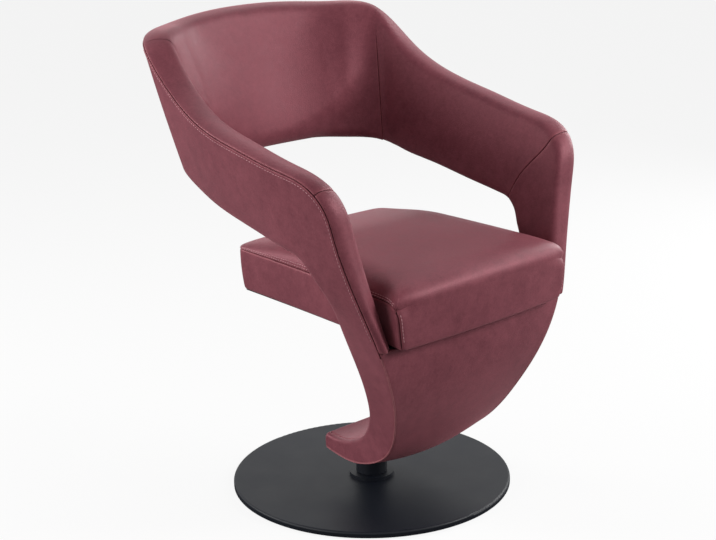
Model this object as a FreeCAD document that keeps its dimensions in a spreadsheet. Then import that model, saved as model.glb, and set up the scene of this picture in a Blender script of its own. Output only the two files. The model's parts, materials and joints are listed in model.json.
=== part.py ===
import FreeCAD, Part
import math
import os

import Sketcher
from FreeCAD import Vector

# Swivel armchair: a steel disc and column carry a curved upholstered foot, which rises
# in front of the seat, splits into two posts and runs on as arms and a low back.
# Millimetres, +Z up, the chair faces -Y, the origin lies on the floor on the swivel axis.

# Plain sizes: name, value, what it measures
SIZES = [
    ("disc_diameter", 500, "floor disc across"),
    ("disc_thickness", 10, "floor disc plate"),
    ("disc_rim_radius", 4, "rounding of the disc's upper rim"),
    ("pad_thickness", 2, "felt pad under the disc"),
    ("pad_inset", 7, "felt pad edge inside the disc edge"),
    ("flange_diameter", 80, "spindle flange across"),
    ("flange_thickness", 6, "spindle flange"),
    ("spindle_diameter", 30, "spindle journal"),
    ("disc_screw_circle", 58, "pitch circle of the screws under the disc"),
    ("screw_diameter", 8, "thread of the column screws"),
    ("screw_head_diameter", 15, "head of the column screws"),
    ("screw_head_height", 4.5, "head of the column screws"),
    ("race_diameter", 48, "thrust bearing across"),
    ("race_thickness", 3, "one thrust washer"),
    ("ball_diameter", 5, "thrust bearing ball"),
    ("ball_count", 10, "balls in the thrust bearing"),
    ("running_gap", 0.05, "play of the turning fits"),
    ("housing_diameter", 56, "column tube outside"),
    ("housing_lift", 1, "gap between the flange and the column tube"),
    ("head_diameter", 64, "upper flange of the column"),
    ("head_thickness", 5, "upper flange of the column"),
    ("bush_diameter", 38, "bearing bush outside"),
    ("bush_length", 16, "bearing bush"),
    ("washer_thickness", 3, "washer over the upper bush"),
    ("bolt_head_height", 6, "bolt that holds the washer"),
    ("bolt_diameter", 10, "bolt that holds the washer"),
    ("plate_width", 144, "steel plate inside the foot, side to side"),
    ("plate_front", 72, "foot plate forward of the axis"),
    ("plate_rear", 17, "foot plate behind the axis"),
    ("plate_bottom", 91, "height of the foot plate's underside, on the column"),
    ("plate_thickness", 5, "foot plate"),
    ("plate_screw_circle", 46, "pitch circle of the screws in the foot plate"),
    ("plate_screw_diameter", 6, "thread of the screws in the foot plate"),
    ("plate_screw_head_diameter", 11, "head of the screws in the foot plate"),
    ("plate_screw_head_height", 3.5, "head of the screws in the foot plate"),
    ("spine_width", 30, "flat bar of the spine"),
    ("spine_thickness", 7, "flat bar of the spine"),
    ("spine_spread", 110, "distance between the two spine bars"),
    ("spine_tail", 24, "rear end of the spine bar forward of the axis"),
    ("spine_bend_radius", 165, "large bend of the spine bar"),
    ("spine_bend_start", 45, "start of the large bend forward of the axis"),
    ("spine_top_radius", 30, "small bend below the seat"),
    ("spine_reach", 110, "rear end of the bars under the seat"),
    ("cross_diameter", 20, "tube across the spine bars"),
    ("cross_height", 325, "height of the tube across the spine bars"),
    ("rod_diameter", 14, "round bar through posts, arms and back"),
    ("rod_bend_radius", 60, "bends of the round bar"),
    ("leather", 2, "upholstery leather with its backing"),
    ("fit_gap", 0.3, "clearance between soft pieces"),
    ("hem", 15, "leather turned under a lower edge"),
    ("side_swell", 3, "swell of the outer and inner faces"),
    ("rear_swell", 3, "swell of the panel behind the foot"),
    ("inner_top_radius", 16, "soft inner upper edge"),
    ("inner_low_radius", 12, "soft inner lower edge"),
    ("outer_low_radius", 9, "soft outer lower edge"),
    ("seat_bottom", 361, "height of the seat's underside at its front edge"),
    ("seat_tilt", 1.3, "rise of the seat towards the rear, in degrees"),
    ("seat_side_height", 75, "seat side up to the crease"),
    ("seat_crown", 26, "crown above the crease"),
    ("crown_reach", 60, "width over which the crown rises"),
    ("seat_front", 274, "front of the seat forward of the axis"),
    ("seat_rear", 146, "rear of the seat behind the axis"),
    ("seat_front_width", 388, "seat width at the front"),
    ("seat_rear_width", 350, "seat width at the rear"),
    ("seat_corner_radius", 12, "upright corners of the seat"),
    ("crown_corner_share", 0.5, "growth of the corner radius over the crown"),
    ("seat_side_draw", 3, "how far the sides draw in between the corners"),
    ("seat_foot_draw", 5, "how far the seat narrows to its underside"),
    ("board_inset", 7, "seat board inside the cushion edge"),
    ("board_thickness", 12, "plywood seat board"),
    ("cloth_thickness", 1, "cloth under the seat"),
    ("board_screw_head", 12, "head of the screws in the seat board"),
    ("board_screw_diameter", 6, "thread of the screws in the seat board"),
    ("board_screw_head_height", 3, "head of the screws in the seat board"),
]

# Places along one half of the upholstered band: the share of the seat's half-width that the
# station keeps outside of, then the outer seam and the lower or rear edge of the outer face,
# each as side beyond that share, depth and height, then the plan angle of the inside, the
# thickness at the outer seam, the thickness at the other edge, how far the inside reaches
# beyond that edge, and the swell of the face between the two seams.
STATIONS = [
    ("back_centre", 0, (0, 347, 820), (0, 295, 582), 90, 44, 46, 16, 3),
    ("back_middle", 0.5, (23, 334, 816), (17, 282, 581), 80, 44, 45, 16, 3),
    ("back_side", 1, (18, 303, 808), (-2, 250, 580), 66, 46, 42, 16, 3),
    ("corner", 1, (79, 252, 799), (46, 200, 584), 42, 50, 37, 13, 3),
    ("shoulder", 1, (99, 166, 735), (60, 139, 564), 12, 50, 38, 9, 3.5),
    ("arm_rear", 1, (110, 75, 691), (71, 72, 547), 3, 50, 45, 8, 4.5),
    ("arm_middle", 1, (114, -26, 666), (78, -26, 527), 0, 50, 50, 8, 5),
    ("arm_front", 1, (113, -125, 648), (83, -98, 511), 0, 49, 52, 8, 5),
    ("knee_top", 1, (110, -178, 634), (81, -121, 502), 0, 47, 51, 8, 5),
    ("knee_front", 1, (102, -210, 597), (77, -138, 486), 0, 46, 50, 8, 5),
    ("shin", 1, (89, -221, 545), (69, -153, 462), 0, 45, 46, 7, 5),
    ("seat_line", 1, (65, -234, 464), (55, -166, 431), 0, 40, 37, 3, 4),
    ("ledge", 1, (26, -250, 359), (17, -161, 357), 0, 27, 22, 0, 10),
    ("belly", 1, (-3, -246, 290), (-13, -164, 288), 0, 27, 22, 0, 10),
    ("calf", 0.5, (53, -213, 199), (43, -142, 204), 0, 27, 22, 0, 13),
    ("heel", 0, (117, -150, 119), (110, -100, 154), 0, 27, 22, 0, 15),
    ("sole", 0, (98, -73, 83), (97, -66, 126), 0, 27, 22, 0, 9),
    ("arch", 0, (90, -26, 78), (89, -25, 108), 0, 27, 22, 0, 4),
    ("toe", 0, (84, 24, 90), (84, 26, 103), 0, 27, 22, 0, 1.5),
]
FLOWING = ("width", "low_width", "facing", "drop", "swell")
CORNERS = ("upper", "lower")
AXES = ("side", "depth", "height")
DISC_SCREW_ANGLES = (45, 135, 225, 315)
PLATE_SCREW_ANGLES = (25, 155, 205, 335)

doc = FreeCAD.newDocument("SwivelArmchair")
sheet = doc.addObject("Spreadsheet::Sheet", "Sizes")
parts = []


def fill_sheet():
    """Writes every driving dimension to the spreadsheet under its own name."""
    rows = list(SIZES)
    for name, _, upper, lower, facing, width, low_width, drop, swell in STATIONS:
        for corner, point in zip(CORNERS, (upper, lower)):
            for axis, value in zip(AXES, point):
                rows.append((f"{name}_{corner}_{axis}", value, f"{corner} edge at {name}"))
        rows.append((f"{name}_facing", facing, f"plan angle of the inside at {name}"))
        rows.append((f"{name}_width", width, f"thickness at the outer seam at {name}"))
        rows.append((f"{name}_low_width", low_width, f"thickness at the other edge at {name}"))
        rows.append((f"{name}_drop", drop, f"reach of the inside at {name}"))
        rows.append((f"{name}_swell", swell, f"swell between the seams at {name}"))
    for row, (alias, value, note) in enumerate(rows, start=1):
        sheet.set(f"A{row}", note)
        sheet.set(f"B{row}", str(value))
        sheet.setAlias(f"B{row}", alias)
    doc.recompute()


class Length:
    """A number together with the spreadsheet expression that gives it."""

    def __init__(self, value, text):
        self.value = float(value)
        self.text = text

    def _with(self, other, sign, swap=False):
        other = other if isinstance(other, Length) else Length(other, repr(other))
        left, right = (other, self) if swap else (self, other)
        results = {"+": left.value + right.value, "-": left.value - right.value,
                   "*": left.value * right.value}
        result = left.value / right.value if sign == "/" else results[sign]
        return Length(result, f"({left.text} {sign} {right.text})")

    def __add__(self, other):
        return self._with(other, "+")

    def __radd__(self, other):
        return self._with(other, "+", True)

    def __sub__(self, other):
        return self._with(other, "-")

    def __rsub__(self, other):
        return self._with(other, "-", True)

    def __mul__(self, other):
        return self._with(other, "*")

    def __rmul__(self, other):
        return self._with(other, "*", True)

    def __truediv__(self, other):
        return self._with(other, "/")

    def __neg__(self):
        return self._with(-1, "*")

    def __float__(self):
        return self.value


def cell(alias):
    """One driving dimension, usable as a number and as an expression."""
    return Length(sheet.get(alias), f"Sizes.{alias}")


def number(alias):
    """The plain number of one driving dimension."""
    return float(sheet.get(alias))


def bind(item, name, length):
    """Sets a property of an object and ties it to the sheet."""
    item.setExpression(name, length.text)


# Bodies made from sketches

def new_body(label):
    body = doc.addObject("PartDesign::Body", label)
    parts.append(body)
    return body


def origin_feature(body, role):
    return next(item for item in body.Origin.OriginFeatures if item.Role == role)


def new_sketch(body, role):
    sketch = body.newObject("Sketcher::SketchObject", body.Label + "_sketch")
    sketch.AttachmentSupport = [(origin_feature(body, role), "")]
    sketch.MapMode = "FlatFace"
    return sketch


def pin_point(sketch, index, position, lengths):
    """Ties a point of a sketch to two lengths, measured from the sketch's origin."""
    for kind, length, axis in zip(("DistanceX", "DistanceY"), lengths, (-2, -1)):
        if isinstance(length, Length) and abs(length.value) > 1e-9:
            row = sketch.addConstraint(
                Sketcher.Constraint(kind, -1, 1, index, position, length.value))
            sketch.setExpression(f"Constraints[{row}]", length.text)
        else:
            sketch.addConstraint(Sketcher.Constraint("PointOnObject", index, position, axis))


def draw_polygon(sketch, points):
    """Draws a closed outline whose corners are tied to the sheet."""
    places = [Vector(float(a), float(b), 0) for a, b in points]
    first = sketch.GeometryCount
    for start, end in zip(places, places[1:] + places[:1]):
        sketch.addGeometry(Part.LineSegment(start, end))
    count = len(places)
    for step in range(count):
        here, after = first + step, first + (step + 1) % count
        sketch.addConstraint(Sketcher.Constraint("Coincident", here, 2, after, 1))
    for step, lengths in enumerate(points):
        pin_point(sketch, first + step, 1, lengths)


def draw_circle(sketch, radius, centre=(0, 0)):
    """Draws a circle whose radius and centre are tied to the sheet."""
    place = Vector(float(centre[0]), float(centre[1]), 0)
    index = sketch.addGeometry(Part.Circle(place, Vector(0, 0, 1), radius.value))
    row = sketch.addConstraint(Sketcher.Constraint("Radius", index, radius.value))
    sketch.setExpression(f"Constraints[{row}]", radius.text)
    pin_point(sketch, index, 3, centre)


def lift_sketch(sketch, height):
    """Raises a sketch above its plane by a length of the sheet."""
    sketch.setExpression("AttachmentOffset.Base.z", height.text)


def turned_body(label, outline):
    """A body turned about the swivel axis from its half outline of radius and height."""
    body = new_body(label)
    sketch = new_sketch(body, "XZ_Plane")
    draw_polygon(sketch, outline)
    turn = body.newObject("PartDesign::Revolution", label + "_turn")
    turn.Profile = sketch
    turn.ReferenceAxis = (origin_feature(body, "Z_Axis"), [""])
    turn.Angle = 360
    doc.recompute()
    return body


def padded_body(label, height, thickness, draw):
    """A body padded upwards from a sketch at a given height."""
    body = new_body(label)
    sketch = new_sketch(body, "XY_Plane")
    draw(sketch)
    lift_sketch(sketch, height)
    pad = body.newObject("PartDesign::Pad", label + "_pad")
    pad.Profile = sketch
    bind(pad, "Length", thickness)
    doc.recompute()
    return body


def circle_spot(circle, angle):
    """A place on a pitch circle, as two lengths."""
    turn = math.radians(angle)
    return circle / 2 * round(math.cos(turn), 6), circle / 2 * round(math.sin(turn), 6)


def cut_holes(body, radius, circle, angles, height, depth):
    """Cuts round holes on a pitch circle, downwards from a height."""
    sketch = body.newObject("Sketcher::SketchObject", body.Label + "_holes")
    sketch.AttachmentSupport = [(origin_feature(body, "XY_Plane"), "")]
    sketch.MapMode = "FlatFace"
    for angle in angles:
        draw_circle(sketch, radius, circle_spot(circle, angle))
    lift_sketch(sketch, height)
    pocket = body.newObject("PartDesign::Pocket", body.Label + "_pocket")
    pocket.Profile = sketch
    bind(pocket, "Length", depth)
    doc.recompute()


def shape_part(label, shape, place=None):
    """A sub-part whose shape is made from curves and lofts, set down at a placement."""
    item = doc.addObject("Part::Feature", label)
    item.Shape = shape
    item.Placement = place or FreeCAD.Placement()
    parts.append(item)
    return item


def mirrored_part(label, source):
    """The left-hand twin of a right-hand sub-part."""
    twin = doc.addObject("Part::Mirroring", label)
    twin.Source = source
    twin.Base = Vector(0, 0, 0)
    twin.Normal = Vector(1, 0, 0)
    parts.append(twin)
    doc.recompute()
    return twin


# Floor disc and column

def make_floor_pad():
    radius = cell("disc_diameter") / 2 - cell("pad_inset")
    body = padded_body("floor_pad", cell("pad_thickness") * 0, cell("pad_thickness"),
                       lambda sketch: draw_circle(sketch, radius))
    return body


def make_base_disc():
    """Steel disc with a rounded rim and countersunk holes for the column screws."""
    bottom = cell("pad_thickness")
    body = padded_body("base_disc", bottom, cell("disc_thickness"),
                       lambda sketch: draw_circle(sketch, cell("disc_diameter") / 2))
    cut_holes(body, cell("screw_diameter") / 2 + cell("running_gap"), cell("disc_screw_circle"),
              DISC_SCREW_ANGLES, bottom + cell("disc_thickness"), cell("disc_thickness") * 2)
    head = body.newObject("Sketcher::SketchObject", "base_disc_heads")
    head.AttachmentSupport = [(origin_feature(body, "XY_Plane"), "")]
    head.MapMode = "FlatFace"
    head_radius = cell("screw_head_diameter") / 2 + cell("fit_gap")
    for angle in DISC_SCREW_ANGLES:
        draw_circle(head, head_radius, circle_spot(cell("disc_screw_circle"), angle))
    lift_sketch(head, bottom + cell("screw_head_height") + cell("fit_gap"))
    pocket = body.newObject("PartDesign::Pocket", "base_disc_recesses")
    pocket.Profile = head
    bind(pocket, "Length", cell("disc_thickness"))
    doc.recompute()
    top = number("pad_thickness") + number("disc_thickness")
    rim = [f"Edge{index}" for index, edge in enumerate(pocket.Shape.Edges, start=1)
           if edge.Length > math.pi * number("disc_diameter") * 0.98
           and abs(edge.BoundBox.ZMin - top) < 0.01]
    fillet = body.newObject("PartDesign::Fillet", "base_disc_rim")
    fillet.Base = (pocket, rim)
    bind(fillet, "Radius", cell("disc_rim_radius"))
    doc.recompute()
    return body


def disc_top():
    return cell("pad_thickness") + cell("disc_thickness")


def race_bottom():
    return disc_top() + cell("flange_thickness")


def upper_race_bottom():
    return race_bottom() + cell("race_thickness") + cell("ball_diameter") + cell("running_gap") * 2


def bearing_top():
    return upper_race_bottom() + cell("race_thickness")


def spindle_top():
    """Top of the journal, just above the upper bush."""
    return cell("plate_bottom") - cell("washer_thickness") - cell("bolt_head_height") - 1


def make_spindle():
    """Flanged spindle on the disc, threaded from below and from above."""
    journal = cell("spindle_diameter") / 2
    flange = cell("flange_diameter") / 2
    bore = cell("bolt_diameter") / 2 + cell("running_gap")
    bore_floor = spindle_top() - cell("bolt_diameter") * 2.4
    axis = cell("pad_thickness") * 0
    body = turned_body("spindle", [
        (axis, disc_top()), (flange, disc_top()), (flange, race_bottom()),
        (journal, race_bottom()), (journal, spindle_top()), (bore, spindle_top()),
        (bore, bore_floor), (axis, bore_floor)])
    depth = cell("flange_thickness") * 0.8
    sketch = body.newObject("Sketcher::SketchObject", "spindle_threads")
    sketch.AttachmentSupport = [(origin_feature(body, "XY_Plane"), "")]
    sketch.MapMode = "FlatFace"
    radius = cell("screw_diameter") / 2 + cell("running_gap")
    for angle in DISC_SCREW_ANGLES:
        draw_circle(sketch, radius, circle_spot(cell("disc_screw_circle"), angle))
    lift_sketch(sketch, disc_top() + depth)
    pocket = body.newObject("PartDesign::Pocket", "spindle_thread_holes")
    pocket.Profile = sketch
    bind(pocket, "Length", depth * 2)
    doc.recompute()
    return body


def screw_shape(foot, upward, head_radius, head_height, shank_radius, shank_length):
    """A cap screw from the outer face of its head along its axis."""
    axis = Vector(0, 0, 1 if upward else -1)
    head = Part.makeCylinder(head_radius, head_height, foot, axis)
    socket = Part.makeCylinder(head_radius * 0.4, head_height * 0.6, foot, axis)
    shank = Part.makeCylinder(shank_radius, shank_length, foot + axis * head_height, axis)
    return head.cut(socket).fuse(shank)


def ring_of_screws(label, circle, angles, foot_height, upward, head, shank):
    """Equal screws on a pitch circle, in one group of separate solids."""
    screws = []
    for angle in angles:
        side, depth = circle_spot(circle, angle)
        foot = Vector(float(side), float(depth), foot_height)
        screws.append(screw_shape(foot, upward, head[0], head[1], shank[0], shank[1]))
    return shape_part(label, Part.makeCompound(screws))


def make_disc_screws():
    length = number("disc_thickness") - number("screw_head_height") + number("flange_thickness") * 0.7
    return ring_of_screws(
        "disc_screws", cell("disc_screw_circle"), DISC_SCREW_ANGLES,
        number("pad_thickness"), True,
        (number("screw_head_diameter") / 2, number("screw_head_height")),
        (number("screw_diameter") / 2, length))


def ring_outline(inner, outer, bottom, top):
    return [(inner, bottom), (outer, bottom), (outer, top), (inner, top)]


def make_thrust_bearing():
    """Two steel washers with a caged ring of balls between them."""
    inner = cell("spindle_diameter") / 2 + cell("running_gap")
    outer = cell("race_diameter") / 2
    turned_body("thrust_race_lower", ring_outline(
        inner, outer, race_bottom(), race_bottom() + cell("race_thickness")))
    turned_body("thrust_race_upper", ring_outline(
        inner, outer, upper_race_bottom(), bearing_top()))
    make_ball_ring(inner.value, outer.value)


def make_ball_ring(inner, outer):
    """The balls and the flat cage that spaces them."""
    ball = number("ball_diameter") / 2
    middle = (inner + outer) / 2
    height = (race_bottom() + cell("race_thickness") + cell("running_gap")).value + ball
    count = int(number("ball_count"))
    cage_half = ball * 0.35
    cage = Part.makeCylinder(outer - 0.5, 2 * cage_half, Vector(0, 0, height - cage_half))
    cage = cage.cut(Part.makeCylinder(inner + 0.5, 4 * cage_half,
                                      Vector(0, 0, height - 2 * cage_half)))
    balls = []
    for step in range(count):
        angle = 2 * math.pi * step / count
        centre = Vector(middle * math.cos(angle), middle * math.sin(angle), height)
        balls.append(Part.makeSphere(ball, centre))
        pocket = Part.makeCylinder(ball + number("running_gap") * 2, 4 * cage_half,
                                   centre - Vector(0, 0, 2 * cage_half))
        cage = cage.cut(pocket)
    shape_part("bearing_cage", cage)
    shape_part("bearing_balls", Part.makeCompound(balls))


def bush_seats():
    """Heights of the lower and the upper bush."""
    lower = bearing_top() + cell("running_gap")
    upper = spindle_top() - cell("bush_length")
    return lower, upper


def make_housing():
    """Column tube with bush seats, a waist between them and a flange under the foot."""
    tube = cell("housing_diameter") / 2
    head = cell("head_diameter") / 2
    bearing = cell("race_diameter") / 2 + 1
    seat = cell("bush_diameter") / 2
    waist = cell("spindle_diameter") / 2 + 2
    lower, upper = bush_seats()
    bottom = race_bottom() + cell("housing_lift")
    top = cell("plate_bottom")
    lower_end = lower + cell("bush_length")
    body = turned_body("bearing_housing", [
        (bearing, bottom), (tube, bottom), (tube, top - cell("head_thickness")),
        (head, top - cell("head_thickness")), (head, top), (seat, top), (seat, upper),
        (waist, upper), (waist, lower_end), (seat, lower_end), (seat, bearing_top()),
        (bearing, bearing_top())])
    cut_holes(body, cell("plate_screw_diameter") / 2 + cell("running_gap"),
              cell("plate_screw_circle"), PLATE_SCREW_ANGLES, top, cell("head_thickness") * 2)
    return body


def make_bushes():
    inner = cell("spindle_diameter") / 2 + cell("running_gap")
    outer = cell("bush_diameter") / 2
    for label, bottom in zip(("bush_lower", "bush_upper"), bush_seats()):
        turned_body(label, ring_outline(inner, outer, bottom, bottom + cell("bush_length")))


def make_retainer():
    """Washer and hexagon bolt that keep the column on the spindle."""
    shank = number("bolt_diameter") / 2
    bottom = spindle_top().value
    washer = number("washer_thickness")
    outer = cell("bush_diameter") / 2 - 1.5
    turned_body("spindle_washer", ring_outline(
        cell("bolt_diameter") / 2 + cell("running_gap"), outer,
        spindle_top() + cell("running_gap"), spindle_top() + cell("washer_thickness")))
    across = shank * 1.9
    corners = [Vector(across * math.cos(math.radians(60 * step)),
                      across * math.sin(math.radians(60 * step)), bottom + washer)
               for step in range(7)]
    hexagon = Part.Face(Part.makePolygon(corners))
    head = hexagon.extrude(Vector(0, 0, number("bolt_head_height")))
    rod = Part.makeCylinder(shank, washer + number("bolt_diameter") * 2,
                            Vector(0, 0, bottom - number("bolt_diameter") * 2))
    shape_part("spindle_bolt", head.fuse(rod))


# Steel frame inside the upholstery

def make_foot_plate():
    """Plate inside the foot, screwed down on the column."""
    half, front, rear = cell("plate_width") / 2, -cell("plate_front"), cell("plate_rear")
    outline = [(-half, front), (half, front), (half, rear), (-half, rear)]
    body = padded_body("foot_plate", cell("plate_bottom"), cell("plate_thickness"),
                       lambda sketch: draw_polygon(sketch, outline))
    cut_holes(body, cell("plate_screw_diameter") / 2 + cell("running_gap"),
              cell("plate_screw_circle"), PLATE_SCREW_ANGLES,
              cell("plate_bottom") + cell("plate_thickness"), cell("plate_thickness") * 2)
    return body


def plate_top():
    return number("plate_bottom") + number("plate_thickness")


def make_plate_screws():
    head = number("plate_screw_head_height")
    length = number("plate_thickness") + number("head_thickness")
    return ring_of_screws(
        "plate_screws", cell("plate_screw_circle"), PLATE_SCREW_ANGLES, plate_top() + head, False,
        (number("plate_screw_head_diameter") / 2, head),
        (number("plate_screw_diameter") / 2, length))


def seat_place():
    """Tilt of the seat about the front edge of its underside."""
    pivot = Vector(0, -number("seat_front"), number("seat_bottom"))
    turn = FreeCAD.Rotation(Vector(1, 0, 0), number("seat_tilt"))
    return FreeCAD.Placement(Vector(0, 0, 0), turn, pivot)


def seat_bar_middle():
    """Height of the middle of the bars under the seat, before the seat is tilted."""
    return (number("seat_bottom") + number("cloth_thickness") + number("fit_gap")
            + number("spine_thickness") / 2)


def spine_side_wire(grow=0.0):
    """Side outline of a spine bar: foot, large bend, upright, small bend, seat bar."""
    half = number("spine_thickness") / 2 + grow
    low = plate_top() + number("spine_thickness") / 2
    big, small = number("spine_bend_radius"), number("spine_top_radius")
    bend_y, bend_z = -number("spine_bend_start"), low + big
    upright = bend_y - big
    tilt = math.radians(number("seat_tilt"))
    top_y = upright + small
    rise = (top_y + number("seat_front")) * math.tan(tilt)
    level = (seat_bar_middle() - number("seat_bottom") - small) / math.cos(tilt)
    top_z = number("seat_bottom") + rise + level
    tail, reach = -number("spine_tail") + grow, number("spine_reach") - top_y + grow

    side = number("spine_spread") / 2 - number("spine_width") / 2 - grow

    def spot(y, z):
        return Vector(side, y, z)

    def arc(centre_y, centre_z, radius, angles):
        points = [spot(centre_y + radius * math.cos(math.radians(a)),
                       centre_z + radius * math.sin(math.radians(a))) for a in angles]
        return Part.Arc(*points).toShape()

    def on_bar(distance, radius):
        """A place on the seat bar: distance behind the bend, radius from its centre."""
        return spot(top_y + distance * math.cos(tilt) - radius * math.sin(tilt),
                    top_z + distance * math.sin(tilt) + radius * math.cos(tilt))

    end_angle = 90 + number("seat_tilt")
    bend = (180, (180 + end_angle) / 2, end_angle)
    edges = [
        Part.makeLine(spot(tail, low - half), spot(bend_y, low - half)),
        arc(bend_y, bend_z, big + half, (270, 225, 180)),
        Part.makeLine(spot(upright - half, bend_z), spot(upright - half, top_z)),
        arc(top_y, top_z, small + half, bend),
        Part.makeLine(on_bar(0, small + half), on_bar(reach, small + half)),
        Part.makeLine(on_bar(reach, small + half), on_bar(reach, small - half)),
        Part.makeLine(on_bar(reach, small - half), on_bar(0, small - half)),
        arc(top_y, top_z, small - half, bend[::-1]),
        Part.makeLine(spot(upright + half, top_z), spot(upright + half, bend_z)),
        arc(bend_y, bend_z, big - half, (180, 225, 270)),
        Part.makeLine(spot(bend_y, low + half), spot(tail, low + half)),
        Part.makeLine(spot(tail, low + half), spot(tail, low - half)),
    ]
    return Part.Wire(edges)


def spine_shape(grow=0.0):
    width = number("spine_width") + 2 * grow
    return Part.Face(spine_side_wire(grow)).extrude(Vector(width, 0, 0))


def board_screw_spots():
    """Plan positions of the screws that hold the seat board on the right bar."""
    upright = number("spine_bend_start") + number("spine_bend_radius")
    return [(number("spine_spread") / 2, depth)
            for depth in (-0.6 * upright, 0.0, 0.7 * number("spine_reach"))]


def make_spines():
    bar = spine_shape()
    radius = number("board_screw_diameter") / 2 + number("running_gap")
    for side, depth in board_screw_spots():
        foot = Vector(side, depth, seat_bar_middle() - number("spine_thickness"))
        hole = Part.makeCylinder(radius, 2 * number("spine_thickness"), foot)
        hole.Placement = seat_place()
        bar = bar.cut(hole)
    right = shape_part("spine_right", bar)
    mirrored_part("spine_left", right)


def cross_middle():
    """Depth of the tube that lies behind the upright bars."""
    upright = -number("spine_bend_start") - number("spine_bend_radius")
    return upright + number("spine_thickness") / 2 + number("cross_diameter") / 2


def cross_shape(grow=0.0):
    start = rod_path_points()[0]
    half = start.x - number("rod_diameter") / 2 - number("fit_gap") + grow
    return Part.makeCylinder(number("cross_diameter") / 2 + grow, 2 * half,
                             Vector(-half, cross_middle(), number("cross_height")), Vector(1, 0, 0))


def make_cross_tube():
    wall = 2
    inner = Part.makeCylinder(number("cross_diameter") / 2 - wall, 2000,
                              Vector(-1000, cross_middle(), number("cross_height")), Vector(1, 0, 0))
    return shape_part("cross_tube", cross_shape().cut(inner))


# The upholstered band

def station_point(name, corner):
    """A point of a rail, which keeps its distance from the seat's side."""
    share = next(station[1] for station in STATIONS if station[0] == name)
    point = Vector(*[number(f"{name}_{corner}_{axis}") for axis in AXES])
    return point + Vector(share * number("seat_front_width") / 2, 0, 0)


def mirrored(point):
    return Vector(-point.x, point.y, point.z)


def spline_through(points, places):
    curve = Part.BSplineCurve()
    curve.interpolate(Points=points, Parameters=places)
    return curve


def flowing(values, places, place):
    """A value between two stations, on a curve that never overshoots them."""
    last = len(places) - 1
    index = max(step for step in range(last) if places[step] <= place or step == 0)
    slopes = [(values[i + 1] - values[i]) / (places[i + 1] - places[i]) for i in range(last)]

    def lean(step):
        if step in (0, last) or slopes[step - 1] * slopes[step] <= 0:
            return 0.0
        return 2 * slopes[step - 1] * slopes[step] / (slopes[step - 1] + slopes[step])

    length = places[index + 1] - places[index]
    share = (place - places[index]) / length
    rise = share * share * (3 - 2 * share)
    return (values[index] * (1 - rise) + values[index + 1] * rise
            + lean(index) * length * share * (1 - share) ** 2
            - lean(index + 1) * length * share ** 2 * (1 - share))


class Band:
    """Smooth rails through the stations of one half, from mid-back to toe."""

    def __init__(self):
        names = [station[0] for station in STATIONS]
        upper = [station_point(name, "upper") for name in names]
        lower = [station_point(name, "lower") for name in names]
        flows = {kind: [number(f"{name}_{kind}") for name in names] for kind in FLOWING}
        upper = [mirrored(point) for point in upper[2:0:-1]] + upper
        lower = [mirrored(point) for point in lower[2:0:-1]] + lower
        for kind, values in flows.items():
            extra = values[2:0:-1]
            flows[kind] = ([180 - value for value in extra] if kind == "facing" else extra) + values
        middles = [(a + b) * 0.5 for a, b in zip(upper, lower)]
        places = [0.0]
        for before, after in zip(middles, middles[1:]):
            places.append(places[-1] + (after - before).Length)
        self.places = dict(zip(names, places[2:]))
        self.order = names
        self.upper = spline_through(upper, places)
        self.lower = spline_through(lower, places)
        self.stops = places
        self.flows = flows

    def measure(self, kind, place):
        """One of the flowing sizes of the band at a place."""
        return flowing(self.flows[kind], self.stops, place)

    def between(self, first, last, steps=3):
        """Places from one station to another, with equal steps between stations."""
        span = self.order[self.order.index(first):self.order.index(last) + 1]
        result = [self.places[first]]
        for before, after in zip(span, span[1:]):
            start, end = self.places[before], self.places[after]
            result += [start + (end - start) * step / steps for step in range(1, steps + 1)]
        return result

    def frame(self, place):
        """Start, inward direction, direction along the outer face, and its depth."""
        upper, lower = self.upper.value(place), self.lower.value(place)
        along = lower - upper
        depth = along.Length
        along = along * (1 / depth)
        angle = math.radians(self.measure("facing", place))
        inward = Vector(-math.cos(angle), -math.sin(angle), 0)
        inward = inward - along * inward.dot(along)
        inward.normalize()
        return upper, inward, along, depth


def spot_on(frame, inward, along):
    start, inward_axis, along_axis, _ = frame
    return start + inward_axis * inward + along_axis * along


def arc_between(start, middle, end):
    return Part.Arc(start, middle, end).toShape()


def corner_arc(frame, corner, before, after, reach):
    """Start, middle and end of an arc that rounds a corner between two unit directions."""
    turn = math.acos(before[0] * after[0] + before[1] * after[1]) / 2
    spread = math.hypot(before[0] + after[0], before[1] + after[1])
    cut = reach * (1 / math.cos(turn) - math.tan(turn)) / spread
    start = (corner[0] + before[0] * reach, corner[1] + before[1] * reach)
    end = (corner[0] + after[0] * reach, corner[1] + after[1] * reach)
    middle = (corner[0] + (before[0] + after[0]) * cut, corner[1] + (before[1] + after[1]) * cut)
    return [spot_on(frame, *point) for point in (start, middle, end)]


def side_bulge(depth):
    """Swell of the outer face, less where the face is narrow."""
    return number("side_swell") * min(depth / 100, 1.0) + 0.1


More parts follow.
